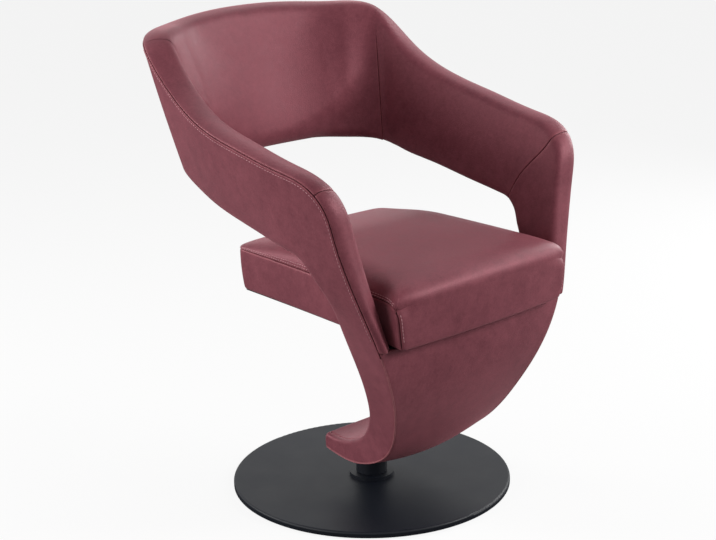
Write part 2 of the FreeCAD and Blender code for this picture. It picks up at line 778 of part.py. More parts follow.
class BandSection:
    """One cross-section of the band, at a distance inside the leather's outer face."""

    def __init__(self, band, place, inset):
        self.frame = band.frame(place)
        width, low_width = band.measure("width", place), band.measure("low_width", place)
        depth, drop = self.frame[3], band.measure("drop", place)
        self.top_swell = band.measure("swell", place)
        limit = 0.35 * min(depth, low_width)
        outer_low = min(number("outer_low_radius"), limit) - inset * 0.5
        inner_low = min(number("inner_low_radius"), limit) - inset * 0.5
        inner_top = min(number("inner_top_radius"), limit * 1.2) - inset * 0.5
        top, low, floor = width - inset, low_width - inset, depth - inset
        length = math.hypot(low - inset, drop)
        under = ((low - inset) / length, drop / length)
        self.seam = spot_on(self.frame, inset, inset)
        self.outer_low = corner_arc(self.frame, (inset, floor), (0, -1), under, outer_low)
        self.inner_low = corner_arc(self.frame, (low, floor + drop), (-under[0], -under[1]),
                                    (0, -1), inner_low)
        self.inner_top = corner_arc(self.frame, (top, inset), (0, 1), (-1, 0), inner_top)
        share = min(number("hem"), length / 2)
        self.hem = spot_on(self.frame, inset + under[0] * share, floor + under[1] * share)
        self.under = under

    def swollen(self, start, end, inward, along):
        """A shallow arc between two points that swells in a given direction."""
        _, inward_axis, along_axis, _ = self.frame
        middle = (start + end) * 0.5 + inward_axis * inward + along_axis * along
        return arc_between(start, middle, end)

    def outer_face(self, seam):
        return self.swollen(seam, self.outer_low[0], -side_bulge(self.frame[3]), 0)

    def inner_face(self):
        return self.swollen(self.inner_low[2], self.inner_top[0], number("side_swell"), 0)

    def top_face(self, seam):
        return self.swollen(self.inner_top[2], seam, 0, -self.top_swell)

    def closed(self):
        """The whole outline, for the foam."""
        edges = [self.outer_face(self.seam), arc_between(*self.outer_low),
                 Part.makeLine(self.outer_low[2], self.inner_low[0]),
                 arc_between(*self.inner_low), self.inner_face(),
                 arc_between(*self.inner_top), self.top_face(self.seam)]
        return Part.Wire(edges)

    def moved(self, point, inward, along):
        _, inward_axis, along_axis, _ = self.frame
        return point + inward_axis * inward + along_axis * along

    def slid(self, point, distance):
        """A point moved along the lower face, towards the inside."""
        return self.moved(point, self.under[0] * distance, self.under[1] * distance)


def outer_leather_wire(band, place):
    """Outline of the side leather: seam, outer face, lower edge and hem."""
    gap = number("fit_gap") / 2
    out, inner = BandSection(band, place, 0), BandSection(band, place, number("leather"))
    out_seam, in_seam = out.moved(out.seam, 0, gap), inner.moved(inner.seam, 0, gap)
    out_hem, in_hem = out.slid(out.hem, -gap), inner.slid(inner.hem, -gap)
    back = [inner.outer_face(in_seam), arc_between(*inner.outer_low),
            Part.makeLine(inner.outer_low[2], in_hem)]
    return Part.Wire([out.outer_face(out_seam), arc_between(*out.outer_low),
                      Part.makeLine(out.outer_low[2], out_hem), Part.makeLine(out_hem, in_hem)]
                     + back[::-1] + [Part.makeLine(in_seam, out_seam)])


def inner_leather_wire(band, place):
    """Outline of the inside leather: hem, inner face, top strip and seam."""
    gap = number("fit_gap") / 2
    out, inner = BandSection(band, place, 0), BandSection(band, place, number("leather"))
    out_seam, in_seam = out.moved(out.seam, gap, 0), inner.moved(inner.seam, gap, 0)
    out_hem, in_hem = out.slid(out.hem, gap), inner.slid(inner.hem, gap)
    front = [Part.makeLine(out_hem, out.inner_low[0]), arc_between(*out.inner_low),
             out.inner_face(), arc_between(*out.inner_top), out.top_face(out_seam)]
    back = [Part.makeLine(in_hem, inner.inner_low[0]), arc_between(*inner.inner_low),
            inner.inner_face(), arc_between(*inner.inner_top), inner.top_face(in_seam)]
    return Part.Wire(front + [Part.makeLine(out_seam, in_seam)] + back[::-1]
                     + [Part.makeLine(in_hem, out_hem)])


def foam_inset():
    return number("leather") + number("fit_gap")


def foam_wire(band, place):
    return BandSection(band, place, foam_inset()).closed()


def loft(wires):
    """A smooth solid through closed outlines, facing outwards."""
    solid = Part.makeLoft(wires, True, False)
    if solid.Volume < 0:
        solid.reverse()
    return solid


def mirror_wire(wire):
    return wire.mirror(Vector(0, 0, 0), Vector(1, 0, 0))


def across_back(band, wire_at):
    """Sections from the left corner of the back to the right one."""
    right = [wire_at(band, place) for place in band.between("back_centre", "corner", 2)]
    left = [mirror_wire(wire) for wire in right[:0:-1]]
    return left + right


# The foot, from the ledge below the seat down to the toe

def rear_swell(band, place):
    """Swell of the rear panel, which fades out above the foot."""
    start, end = band.places["ledge"], band.places["sole"]
    share = min(max((end - place) / (end - start), 0.0), 1.0)
    return 0.3 + number("rear_swell") * share


class HullSection:
    """One full cross-section of the foot, seen from toe to ledge."""

    def __init__(self, band, place, inset):
        self.frame = band.frame(place)
        depth = self.frame[3]
        limit = 0.35 * depth
        radius = max(min(number("outer_low_radius"), limit) - inset * 0.5, 0.6)
        self.seam = spot_on(self.frame, inset, inset)
        self.low = corner_arc(self.frame, (inset, depth - inset), (0, -1), (1, 0), radius)
        self.hem = spot_on(self.frame, band.measure("low_width", place) / 2, depth - inset)
        self.bulge = side_bulge(depth)
        along = self.frame[2]
        self.level = Vector(0, along.y, along.z)
        self.level.normalize()
        self.front_swell = band.measure("swell", place)
        self.rear_swell = rear_swell(band, place)

    def front_arc(self, seam):
        middle = Vector(0, seam.y, seam.z) - self.level * self.front_swell
        return arc_between(mirrored(seam), middle, seam)

    def rear_arc(self, hem):
        middle = Vector(0, hem.y, hem.z) + self.level * self.rear_swell
        return arc_between(hem, middle, mirrored(hem))

    def closed(self):
        side = [self.seam, *self.low]
        other = [mirrored(point) for point in side]
        bulge = self.frame[1] * -self.bulge
        middle = (side[0] + side[1]) * 0.5 + bulge
        return Part.Wire([
            arc_between(side[0], middle, side[1]), arc_between(*side[1:]),
            self.rear_arc(side[3]), arc_between(*other[:0:-1]),
            arc_between(other[1], mirrored(middle), other[0]), self.front_arc(self.seam)])


def hull_foam_wire(band, place):
    return HullSection(band, place, foam_inset()).closed()


def strip_wire(outer, inner):
    """A thin closed outline between two like arcs."""
    ends = [(edge.valueAt(edge.FirstParameter), edge.valueAt(edge.LastParameter))
            for edge in (outer, inner)]
    return Part.Wire([outer, Part.makeLine(ends[0][1], ends[1][1]), inner,
                      Part.makeLine(ends[1][0], ends[0][0])])


def hull_front_wire(band, place):
    gap = number("fit_gap") / 2
    out, inner = HullSection(band, place, 0), HullSection(band, place, number("leather"))
    shift = Vector(-gap, 0, 0)
    return strip_wire(out.front_arc(out.seam + shift), inner.front_arc(inner.seam + shift))


def hull_rear_wire(band, place):
    gap = number("fit_gap")
    out, inner = HullSection(band, place, 0), HullSection(band, place, number("leather"))
    shift = Vector(-gap, 0, 0)
    return strip_wire(out.rear_arc(out.hem + shift), inner.rear_arc(inner.hem + shift))


# Round bar through the posts, the arms and the back

ROD_STATIONS = ("seat_line", "knee_front", "arm_rear", "corner", "back_middle")


def rod_path_points():
    """Corner points of the bar's right half, from its lower end to the back."""
    points = []
    for name in ROD_STATIONS:
        place = band.places[name]
        width = band.measure("width", place) + band.measure("low_width", place)
        frame = band.frame(place)
        points.append(spot_on(frame, width / 4, frame[3] / 2))
    ledge = band.frame(band.places["ledge"])
    ledge_spot = spot_on(ledge, number("ledge_width") / 2 + 2, ledge[3] / 2)
    direction = ledge_spot - points[0]
    height = number("cross_height") - number("cross_diameter") / 2
    end = points[0] + direction * ((height - points[0].z) / direction.z)
    return [Vector(end.x, cross_middle(), height)] + points


def bent_path(points, radius):
    """Straight runs through points, joined by tangent arcs."""
    edges, start = [], points[0]
    for before, corner, after in zip(points, points[1:], points[2:]):
        arrive, leave = (before - corner), (after - corner)
        arrive.normalize()
        leave.normalize()
        half = math.acos(max(-1.0, min(1.0, arrive.dot(leave)))) / 2
        reach = radius / math.tan(half)
        limit = 0.45 * min((before - corner).Length, (after - corner).Length)
        reach = min(reach, limit)
        bend = reach * math.tan(half)
        first, last = corner + arrive * reach, corner + leave * reach
        middle_way = arrive + leave
        middle_way.normalize()
        middle = corner + middle_way * (bend / math.sin(half) - bend)
        edges.append(Part.makeLine(start, first))
        edges.append(arc_between(first, middle, last))
        start = last
    edges.append(Part.makeLine(start, points[-1]))
    return Part.Wire(edges)


def rod_shape(grow=0.0):
    """The whole bar, bent over both sides."""
    half = rod_path_points()
    points = half + [mirrored(point) for point in half[::-1]]
    path = bent_path(points, number("rod_bend_radius"))
    direction = points[1] - points[0]
    circle = Part.Circle(points[0], direction, number("rod_diameter") / 2 + grow)
    return path.makePipeShell([Part.Wire(circle.toShape())], True, False)


# Seat cushion

def seat_outline(height, inset, crown_share=0.0):
    """Closed plan outline of the cushion at a height, drawn in between its corners."""
    draw = number("seat_side_draw")
    rise = number("crown_reach") * crown_share
    radius = number("seat_corner_radius") + number("crown_corner_share") * rise - inset / 2
    shrink = inset + rise
    front, rear = -number("seat_front") + shrink, number("seat_rear") - shrink
    front_half = number("seat_front_width") / 2 - shrink
    rear_half = number("seat_rear_width") / 2 - shrink
    corners = [Vector(front_half, front, height), Vector(rear_half, rear, height),
               Vector(-rear_half, rear, height), Vector(-front_half, front, height)]
    edges = []
    rounded = []
    for index, corner in enumerate(corners):
        before, after = corners[index - 1] - corner, corners[(index + 1) % 4] - corner
        before.normalize()
        after.normalize()
        cut = (before + after) * (radius * (1 - math.sqrt(0.5)))
        rounded.append((corner + before * radius, corner + cut, corner + after * radius))
    middle = Vector(0, (front + rear) / 2, height)
    for index, spots in enumerate(rounded):
        following = rounded[(index + 1) % 4]
        edges.append(arc_between(*spots))
        halfway = (spots[2] + following[0]) * 0.5
        inward = middle - halfway
        inward.normalize()
        edges.append(arc_between(spots[2], halfway + inward * draw, following[0]))
    return Part.Wire(edges)


def seat_body(inset, base=0.0):
    """The cushion's full form: drawn-in sides below a crowned top."""
    bottom = number("seat_bottom") + base
    crease = number("seat_bottom") + number("seat_side_height")
    crown = number("seat_crown") - inset
    sides, dome = [], []
    for share in (0.0, 0.5, 1.0):
        height = bottom + (crease - bottom) * share
        narrow = number("seat_foot_draw") * (1 - share) ** 2
        sides.append(seat_outline(height, inset + narrow))
    for angle in (0, 15, 30, 45, 60, 75, 89):
        turn = math.radians(angle)
        dome.append(seat_outline(crease + crown * math.sin(turn), inset, 1 - math.cos(turn)))
    return loft(sides).fuse(loft(dome))


def clear_of_tube(piece):
    """A piece of the untilted seat, with room for the tube across the spine bars."""
    space = cross_shape(number("fit_gap"))
    space.Placement = seat_place().inverse()
    return piece.cut(space)


def seat_shell():
    """Leather around the cushion, open below."""
    outer = seat_body(0.0)
    inner = seat_body(number("leather"), -1.0)
    return clear_of_tube(outer.cut(inner))


def seat_seam_height():
    return number("seat_bottom") + number("seat_side_height") - 1


def wedge(points, height):
    """An upright prism from a plan outline, much taller than the cushion."""
    corners = [Vector(x, y, 0) for x, y in points]
    face = Part.Face(Part.makePolygon(corners + corners[:1]))
    return face.extrude(Vector(0, 0, height))


def side_region(gap):
    """Space of the right side border: outside the corner diagonals, below the seam."""
    front, rear = -number("seat_front"), number("seat_rear")
    front_half, rear_half = number("seat_front_width") / 2, number("seat_rear_width") / 2
    far, deep = 100.0, 60.0
    corners = [(front_half - deep, front + deep + gap), (front_half + far, front - far + gap),
               (rear_half + far, rear + far - gap), (rear_half - deep, rear - deep - gap)]
    return wedge(corners, seat_seam_height() - gap)


def rear_region(gap):
    """Space of the rear border: outside the rear corner diagonals, below the seam."""
    rear, rear_half = number("seat_rear"), number("seat_rear_width") / 2
    far, deep = 100.0, 60.0
    corners = [(rear_half - deep - gap, rear - deep), (rear_half + far - gap, rear + far),
               (-rear_half - far + gap, rear + far), (-rear_half + deep + gap, rear - deep)]
    return wedge(corners, seat_seam_height() - gap)


def make_seat_covers():
    """Top and front in one piece, and borders at the sides and the rear."""
    shell = seat_shell()
    gap = number("fit_gap") / 2
    right = side_region(-gap)
    left = right.mirror(Vector(0, 0, 0), Vector(1, 0, 0))
    shape_part("seat_top_cover", shell.cut(right).cut(left).cut(rear_region(-gap)), seat_place())
    border = shape_part("seat_border_right", shell.common(side_region(gap)), seat_place())
    mirrored_part("seat_border_left", border)
    shape_part("seat_border_rear", shell.common(rear_region(gap)), seat_place())


def board_bottom():
    return seat_bar_middle() + number("spine_thickness") / 2


def make_seat_base():
    """Cloth, plywood board and its screws."""
    bottom = number("seat_bottom")
    inset = number("leather") + number("seat_foot_draw") + number("fit_gap")
    outline = Part.Face(seat_outline(bottom, inset))
    cloth = outline.extrude(Vector(0, 0, number("cloth_thickness")))
    upright = -number("spine_bend_start") - number("spine_bend_radius")
    gap = number("fit_gap")
    opening = Part.makeBox(
        number("spine_width") + 2 * gap, number("spine_top_radius") + number("spine_thickness") + 2 * gap,
        4 * number("cloth_thickness"),
        Vector(number("spine_spread") / 2 - number("spine_width") / 2 - gap,
               upright - number("spine_thickness") / 2 - gap, bottom - number("cloth_thickness")))
    cloth = cloth.cut(opening).cut(opening.mirror(Vector(0, 0, 0), Vector(1, 0, 0)))
    shape_part("seat_base_cloth", clear_of_tube(cloth), seat_place())
    board = Part.Face(seat_outline(board_bottom(), number("board_inset")))
    board = board.extrude(Vector(0, 0, number("board_thickness")))
    holes, screws = [], []
    head, shank = number("board_screw_head") / 2, number("board_screw_diameter") / 2
    head_height = number("board_screw_head_height")
    top = board_bottom() + number("board_thickness")
    length = number("board_thickness") + number("spine_thickness") * 0.8 - head_height
    for side, depth in board_screw_spots():
        for spot in (Vector(side, depth, top), Vector(-side, depth, top)):
            screws.append(screw_shape(spot, False, head, head_height, shank, length))
            holes.append(Part.makeCylinder(head + gap, head_height + gap, spot, Vector(0, 0, -1)))
            holes.append(Part.makeCylinder(shank + gap / 2, 3 * length, spot, Vector(0, 0, -1)))
    board = board.cut(Part.makeCompound(holes))
    shape_part("seat_board", clear_of_tube(board), seat_place())
    shape_part("seat_board_screws", Part.makeCompound(screws), seat_place())


def make_seat_foam():
    inset = foam_inset()
    base = board_bottom() + number("board_thickness") + number("fit_gap") / 3
    wide, deep = number("seat_front_width"), number("seat_front") + number("seat_rear")
    below = Part.makeBox(wide, deep, base, Vector(-wide / 2, -number("seat_front"), 0))
    foam = clear_of_tube(seat_body(inset, 0.0).cut(below))
    return shape_part("seat_foam", foam, seat_place())


# Foam and leather of the band

def post_above_ledge(wire_at):
    """A post's loft, which runs on into the foot and is cut off at the ledge."""
    start, inward, along, depth = band.frame(band.places["ledge"])
    way = inward.cross(along)
    if way.z > 0:
        way = way * -1
    reach = 2 * depth
    corners = [start + inward * side + along * level
               for side, level in ((-reach, -reach), (reach, -reach), (reach, reach), (-reach, reach))]
    below = Part.Face(Part.makePolygon(corners + corners[:1])).extrude(way * reach)
    places = band.between("knee_top", "belly")
    return loft([wire_at(band, place) for place in places]).cut(below)


def make_band_foam(rod):
    """Foam of the back, the arms and the posts, moulded around the round bar."""
    back = loft(across_back(band, foam_wire)).cut(rod)
    shape_part("back_foam", back)
    arm = loft([foam_wire(band, place) for place in band.between("corner", "knee_top")])
    right_arm = shape_part("arm_foam_right", arm.cut(rod))
    mirrored_part("arm_foam_left", right_arm)
    right_post = shape_part("post_foam_right", post_above_ledge(foam_wire).cut(rod))
    mirrored_part("post_foam_left", right_post)


def make_band_leather():
    """Covers, sewn at the outer seam, the corners of the back and the knees."""
    side = loft([outer_leather_wire(band, place)
                 for place in band.between("corner", "toe")])
    right_side = shape_part("side_cover_right", side)
    mirrored_part("side_cover_left", right_side)
    shape_part("back_outer_cover", loft(across_back(band, outer_leather_wire)))
    shape_part("back_inner_cover", loft(across_back(band, inner_leather_wire)))
    arm = loft([inner_leather_wire(band, place) for place in band.between("corner", "knee_top")])
    for label, cover in (("arm_inner_cover", arm),
                         ("post_inner_cover", post_above_ledge(inner_leather_wire))):
        right = shape_part(label + "_right", cover)
        mirrored_part(label + "_left", right)


def column_opening():
    """Round space that the column and its screws take out of the sole."""
    depth = 4 * number("head_thickness")
    return Part.makeCylinder(number("head_diameter") / 2 + number("fit_gap"),
                             depth + number("fit_gap"), Vector(0, 0, number("plate_bottom") - depth))


def make_hull(rod):
    """Foam and leather of the foot."""
    places = band.between("ledge", "toe")
    foam = loft([hull_foam_wire(band, place) for place in places])
    gap = number("fit_gap")
    plate = Part.makeBox(number("plate_width") + 2 * gap,
                         number("plate_front") + number("plate_rear") + 2 * gap,
                         number("plate_thickness") + 2 * gap,
                         Vector(-number("plate_width") / 2 - gap, -number("plate_front") - gap,
                                number("plate_bottom") - gap))
    spine = spine_shape(gap)
    heads = Part.makeCylinder(
        number("plate_screw_circle") / 2 + number("plate_screw_head_diameter") / 2 + gap,
        number("plate_screw_head_height") + 2 * gap, Vector(0, 0, plate_top()))
    sole_hole = column_opening()
    foam = foam.cut(plate).cut(spine).cut(spine.mirror(Vector(0, 0, 0), Vector(1, 0, 0)))
    foam = foam.cut(cross_shape(gap)).cut(rod).cut(heads).cut(sole_hole)
    shape_part("foot_foam", foam)
    front = loft([hull_front_wire(band, place) for place in places]).cut(sole_hole)
    shape_part("foot_front_cover", front)
    rear = loft([hull_rear_wire(band, place) for place in places])
    shape_part("foot_rear_cover", rear)
    shape_part("toe_cover", toe_cap(places[-1]).cut(sole_hole))


def toe_cap(place):
    """Leather that rounds off the end of the foot."""
    section = HullSection(band, place, 0)
    way = section.frame[2].cross(section.frame[1])
    if way.y < 0:
        way = way * -1
    way.x = 0
    way.normalize()
    thickness = number("leather")
    wires = []
    for angle in (0, 30, 55, 75):
        turn = math.radians(angle)
        wire = HullSection(band, place, thickness * (1 - math.cos(turn))).closed()
        wire.translate(way * (number("fit_gap") + thickness * math.sin(turn)))
        wires.append(wire)
    return loft(wires)


def check_parts():
    """Stops if any object failed or any sub-part's shape isn't sound."""
    doc.recompute()
    for item in doc.Objects:
        if "Invalid" in item.State or "Error" in item.State:
            raise RuntimeError(f"{item.Label} failed: {item.State}")
    for item in parts:
        shape = item.Shape
        if shape.isNull() or not shape.isValid() or not shape.Solids:
            raise RuntimeError(f"{item.Label} has no sound solid")


def export_parts():
    os.makedirs("parts", exist_ok=True)
    for item in parts:
        item.Shape.exportStep(f"parts/{item.Label}.step")
        print(item.Label, len(item.Shape.Solids), round(item.Shape.Volume))


fill_sheet()
band = Band()
make_floor_pad()
make_base_disc()
make_spindle()
make_disc_screws()
make_thrust_bearing()
make_housing()
make_bushes()
make_retainer()
make_foot_plate()
make_plate_screws()
make_spines()
make_cross_tube()
shape_part("frame_rod", rod_shape())
make_seat_base()
make_seat_foam()
make_seat_covers()
rod_space = rod_shape(number("fit_gap"))
make_band_foam(rod_space)
make_band_leather()
make_hull(rod_space)
check_parts()
export_parts()
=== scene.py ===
"""Looks of a leather swivel armchair.

A curved upholstered foot stands on a column over a round steel disc. It rises in front of
the seat, splits into two posts, and runs on as arms and a low back. Every length is in
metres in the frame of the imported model: +Z up, and the chair faces -Y.
"""
import json
import logging
import math
from dataclasses import dataclass
from enum import Enum
from typing import Callable

import bpy
import numpy as np
from mathutils import Matrix, Vector


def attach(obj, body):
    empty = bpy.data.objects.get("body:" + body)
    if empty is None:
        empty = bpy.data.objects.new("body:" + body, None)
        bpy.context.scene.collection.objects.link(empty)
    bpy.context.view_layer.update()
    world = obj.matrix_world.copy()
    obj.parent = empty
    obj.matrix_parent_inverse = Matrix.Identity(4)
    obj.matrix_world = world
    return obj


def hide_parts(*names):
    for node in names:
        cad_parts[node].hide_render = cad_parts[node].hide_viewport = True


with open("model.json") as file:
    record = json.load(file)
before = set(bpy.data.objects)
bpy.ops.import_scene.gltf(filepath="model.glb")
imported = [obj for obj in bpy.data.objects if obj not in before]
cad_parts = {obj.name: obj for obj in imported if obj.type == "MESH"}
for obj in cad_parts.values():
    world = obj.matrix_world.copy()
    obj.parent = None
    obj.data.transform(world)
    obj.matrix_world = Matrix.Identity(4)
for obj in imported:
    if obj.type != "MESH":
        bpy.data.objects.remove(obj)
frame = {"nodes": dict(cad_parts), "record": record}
log = logging.getLogger("armchair")

Grid = np.ndarray
Colour = tuple[float, float, float]
Place = tuple[float, float, float]

MM = 0.001
MIRROR = np.array([-1.0, 1.0, 1.0])
# A distance that counts as away from every seam
FAR = 60 * MM
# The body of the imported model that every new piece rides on
CHAIR = "chair"


class Side(Enum):
    """Right or left half of the chair, seen from the front."""

    RIGHT = "right"
    LEFT = "left"

    @property
    def mirrored(self) -> bool:
        """True for the half that is made as a mirror image."""
        return self is Side.LEFT


class EdgeKind(Enum):
    """How a panel ends: distances of its closest rows from the edge, and how deep they sink."""

    SEWN = ((0.0, 0.0005, 0.0012, 0.0022, 0.0042, 0.0080), (0.0036, 0.0016, 0.0005, 0.0001, 0.0, 0.0))
    FINE = ((0.0, 0.0003, 0.0009, 0.0019, 0.0040, 0.0078), (0.0016, 0.0006, 0.0002, 0.0, 0.0, 0.0))
    OPEN = ((0.0,), (0.0,))

    @property
    def offsets(self) -> Grid:
        """Distances of the closest rows from the edge."""
        return np.array(self.value[0])

    @property
    def depths(self) -> Grid:
        """How far each of those rows sinks into the seam."""
        return np.array(self.value[1])


# Curves and grids


class Curve:
    """A cubic curve through values at rising places."""

    def __init__(self, places: Grid, values: Grid, slopes: Grid) -> None:
        """Keeps the places, the values there and the slopes there."""
        self.places, self.values, self.slopes = places, values, slopes

    def __call__(self, at: Grid) -> Grid:
        """Reads the curve.

        Args:
            at: Places at which the values are wanted.

        Returns:
            One row of values for each place.
        """
        index = np.clip(np.searchsorted(self.places, at, side="right") - 1, 0, len(self.places) - 2)
        length = (self.places[index + 1] - self.places[index])[:, None]
        share = (at - self.places[index])[:, None] / length
        back = 1 - share
        return (self.values[index] * (1 + 2 * share) * back ** 2
                + self.values[index + 1] * share ** 2 * (3 - 2 * share)
                + self.slopes[index] * length * share * back ** 2
                - self.slopes[index + 1] * length * share ** 2 * back)

    @classmethod
    def smooth(cls, places: Grid, values: Grid) -> "Curve":
        """A curve with an even bend through its values.

        Args:
            places: Rising places.
            values: One row of values for each place.

        Returns:
            The curve, whose second derivative has no steps.
        """
        count = len(places)
        gaps = np.diff(places)
        rates = np.diff(values, axis=0) / gaps[:, None]
        matrix, right = np.zeros((count, count)), np.zeros_like(values)
        for step in range(1, count - 1):
            before, after = 1 / gaps[step - 1], 1 / gaps[step]
            matrix[step, step - 1:step + 2] = before, 2 * (before + after), after
            right[step] = 3 * (rates[step - 1] * before + rates[step] * after)
        for end, near in ((0, slice(0, 4)), (count - 1, slice(count - 4, count))):
            matrix[end, end] = 1
            right[end] = np.polyfit(places[near] - places[end], values[near], 3)[2]
        return cls(places, values, np.linalg.solve(matrix, right))

    @classmethod
    def steady(cls, places: Grid, values: Grid) -> "Curve":
        """A curve that never overshoots the values it passes through.

        Args:
            places: Rising places.
            values: One row of values for each place.

        Returns:
            The curve.
        """
        rates = np.diff(values, axis=0) / np.diff(places)[:, None]
        before, after = rates[:-1], rates[1:]
        turning = before * after > 0
        slopes = np.zeros_like(values)
        slopes[1:-1] = np.where(turning, 2 * before * after / np.where(turning, before + after, 1), 0)
        return cls(places, values, slopes)


@dataclass(frozen=True)
class Ladder:
    """Spacing of rows or columns between two edges, closer together at sewn edges."""

    first: EdgeKind
    last: EdgeKind
    count: int

    @classmethod
    def sewn(cls, count: int) -> "Ladder":
        """A ladder between two sewn edges."""
        return cls(EdgeKind.SEWN, EdgeKind.SEWN, count)

    @property
    def gaps(self) -> int:
        """Number of gaps between the rungs."""
        return len(self.first.offsets) + self.count + len(self.last.offsets) - 1

    def at(self, total: Grid) -> Grid:
        """Spreads the rungs over a length.

        Args:
            total: Length from the first edge to the last one, for one or more ladders.

        Returns:
            Positions of the rungs, one row for each length.
        """
        total = np.atleast_1d(total).astype(float)[:, None]
        head, tail = self.first.offsets, self.last.offsets
        share = np.linspace(0, 1, self.count + 2)[1:-1]
        middle = head[-1] + (total - tail[-1] - head[-1]) * share
        start = np.broadcast_to(head, (len(total), len(head)))
        return np.hstack([start, middle, total - tail[::-1]])

    def sinks(self) -> tuple[Grid, Grid]:
        """How deep the rungs lie in the seams.

        Returns:
            Depth of each rung in the seam at the first edge, and in the one at the last edge.
        """
        first, last = np.zeros(self.gaps + 1), np.zeros(self.gaps + 1)
        first[:len(self.first.depths)] = self.first.depths
        last[len(last) - len(self.last.depths):] = self.last.depths[::-1]
        return first, last


def unit(vectors: Grid) -> Grid:
    """Vectors scaled to length 1."""
    return vectors / np.maximum(np.linalg.norm(vectors, axis=-1, keepdims=True), 1e-12)


def eased(share: Grid) -> Grid:
    """Shares held between 0 and 1, which start and end softly."""
    share = np.clip(share, 0, 1)
    return share ** 2 * (3 - 2 * share)


def rounded(corner: Grid, before: Grid, after: Grid, reach: Grid, steps: int = 7) -> Grid:
    """Points of the round arcs that soften corners.

    Args:
        corner: Corner of each section.
        before: Unit direction from the corner back along the line that comes in.
        after: Unit direction from the corner along the line that goes out.
        reach: Distance from the corner to both ends of its arc.
        steps: Number of points on each arc.

    Returns:
        Points with shape (sections, steps, dimensions).
    """
    reach = np.asarray(reach)[..., None]
    weight = np.sin(np.arccos(np.clip((before * after).sum(-1), -1, 1)) / 2)[..., None, None]
    start, end = (corner + before * reach)[..., None, :], (corner + after * reach)[..., None, :]
    share = np.linspace(0, 1, steps)[:, None]
    lift, fall, middle = (1 - share) ** 2, share ** 2, 2 * weight * share * (1 - share)
    return (start * lift + corner[..., None, :] * middle + end * fall) / (lift + middle + fall)


def bulged(start: Grid, end: Grid, bulge: Grid, steps: int) -> Grid:
    """Points of shallow arcs.

    Args:
        start: Start of each arc.
        end: End of each arc.
        bulge: How far the middle of each arc is off the straight line.
        steps: Number of points on each arc.

    Returns:
        Points with shape (arcs, steps, dimensions).
    """
    share = np.linspace(0, 1, steps)[:, None]
    start, end, bulge = start[..., None, :], end[..., None, :], bulge[..., None, :]
    return start + (end - start) * share + bulge * 4 * share * (1 - share)


def joined(*pieces: Grid) -> Grid:
    """Lines put end to end, each starting where the one before ends."""
    return np.concatenate([pieces[0]] + [piece[:, 1:] for piece in pieces[1:]], axis=1)


def run_lengths(lines: Grid) -> Grid:
    """Distance along each line at each of its points."""
    steps = np.linalg.norm(np.diff(lines, axis=1), axis=2)
    return np.hstack([np.zeros((len(lines), 1)), np.cumsum(steps, axis=1)])


def along_line(line: Grid, runs: Grid, wanted: Grid) -> Grid:
    """Points of one line at the wanted distances along it."""
    return np.stack([np.interp(wanted, runs, line[:, axis]) for axis in range(line.shape[1])], 1)


def grid_normals(points: Grid) -> Grid:
    """Unit normals of a grid of points, from its columns towards its rows."""
    return unit(np.cross(np.gradient(points, axis=0), np.gradient(points, axis=1)))


def puff(distance: Grid, height: float = 0.5 * MM, reach: float = 5 * MM, end: float = 50 * MM) -> Grid:
    """Slight swelling of padded leather beside a seam, which has faded out at its end."""
    distance = np.minimum(distance, end)
    return height * distance / reach * np.exp(1 - distance / reach)


# Meshes


def grid_faces(columns: int, rows: int) -> Grid:
    """Quads of a grid whose points are stored column by column."""
    corner = (np.arange(columns - 1)[:, None] * rows + np.arange(rows - 1)).ravel()
    return np.stack([corner, corner + rows, corner + rows + 1, corner + 1], 1)


def ring_faces(around: int, rings: int) -> Grid:
    """Quads between closed rings whose points are stored ring by ring.

    Args:
        around: Number of points on a ring.
        rings: Number of rings.

    Returns:
        Four point numbers for each face, which go along the ring and then up.
    """
    base, number = np.arange(rings - 1)[:, None] * around, np.arange(around)
    here, after = (base + number).ravel(), (base + np.roll(number, -1)).ravel()
    return np.stack([here, after, after + around, here + around], 1)


def mesh_object(name: str, points: Grid, faces: Grid, seam: Grid, flip: bool = False) -> bpy.types.Object:
    """Makes a smooth mesh object from points and quads.

    Args:
        name: Name of the piece.
        points: One row for each point.
        faces: Four point numbers for each face, seen anticlockwise from outside.
        seam: Distance of each point from the nearest seam.
        flip: True where the points are mirrored, so that the faces turn over.

    Returns:
        The object, linked into the scene.
    """
    used, faces = np.unique(faces, return_inverse=True)
    faces = faces.reshape(-1, 4)
    if flip:
        faces = faces[:, ::-1]
    mesh = bpy.data.meshes.new(name)
    mesh.from_pydata(points[used].tolist(), [], faces.tolist())
    mesh.polygons.foreach_set("use_smooth", np.ones(len(faces), bool))
    attribute = mesh.attributes.new("seam_mm", "FLOAT", "POINT")
    attribute.data.foreach_set("value", (np.minimum(seam[used], FAR) / MM).astype(np.float32))
    mesh.update()
    item = bpy.data.objects.new(name, mesh)
    bpy.context.scene.collection.objects.link(item)
    return item


def smooth_surface(item: bpy.types.Object) -> bpy.types.Object:
    """Gives a piece one level of subdivision.

    Args:
        item: The piece.

    Returns:
        The piece.
    """
    modifier = item.modifiers.new("smooth", "SUBSURF")
    modifier.levels = modifier.render_levels = 1
    return item


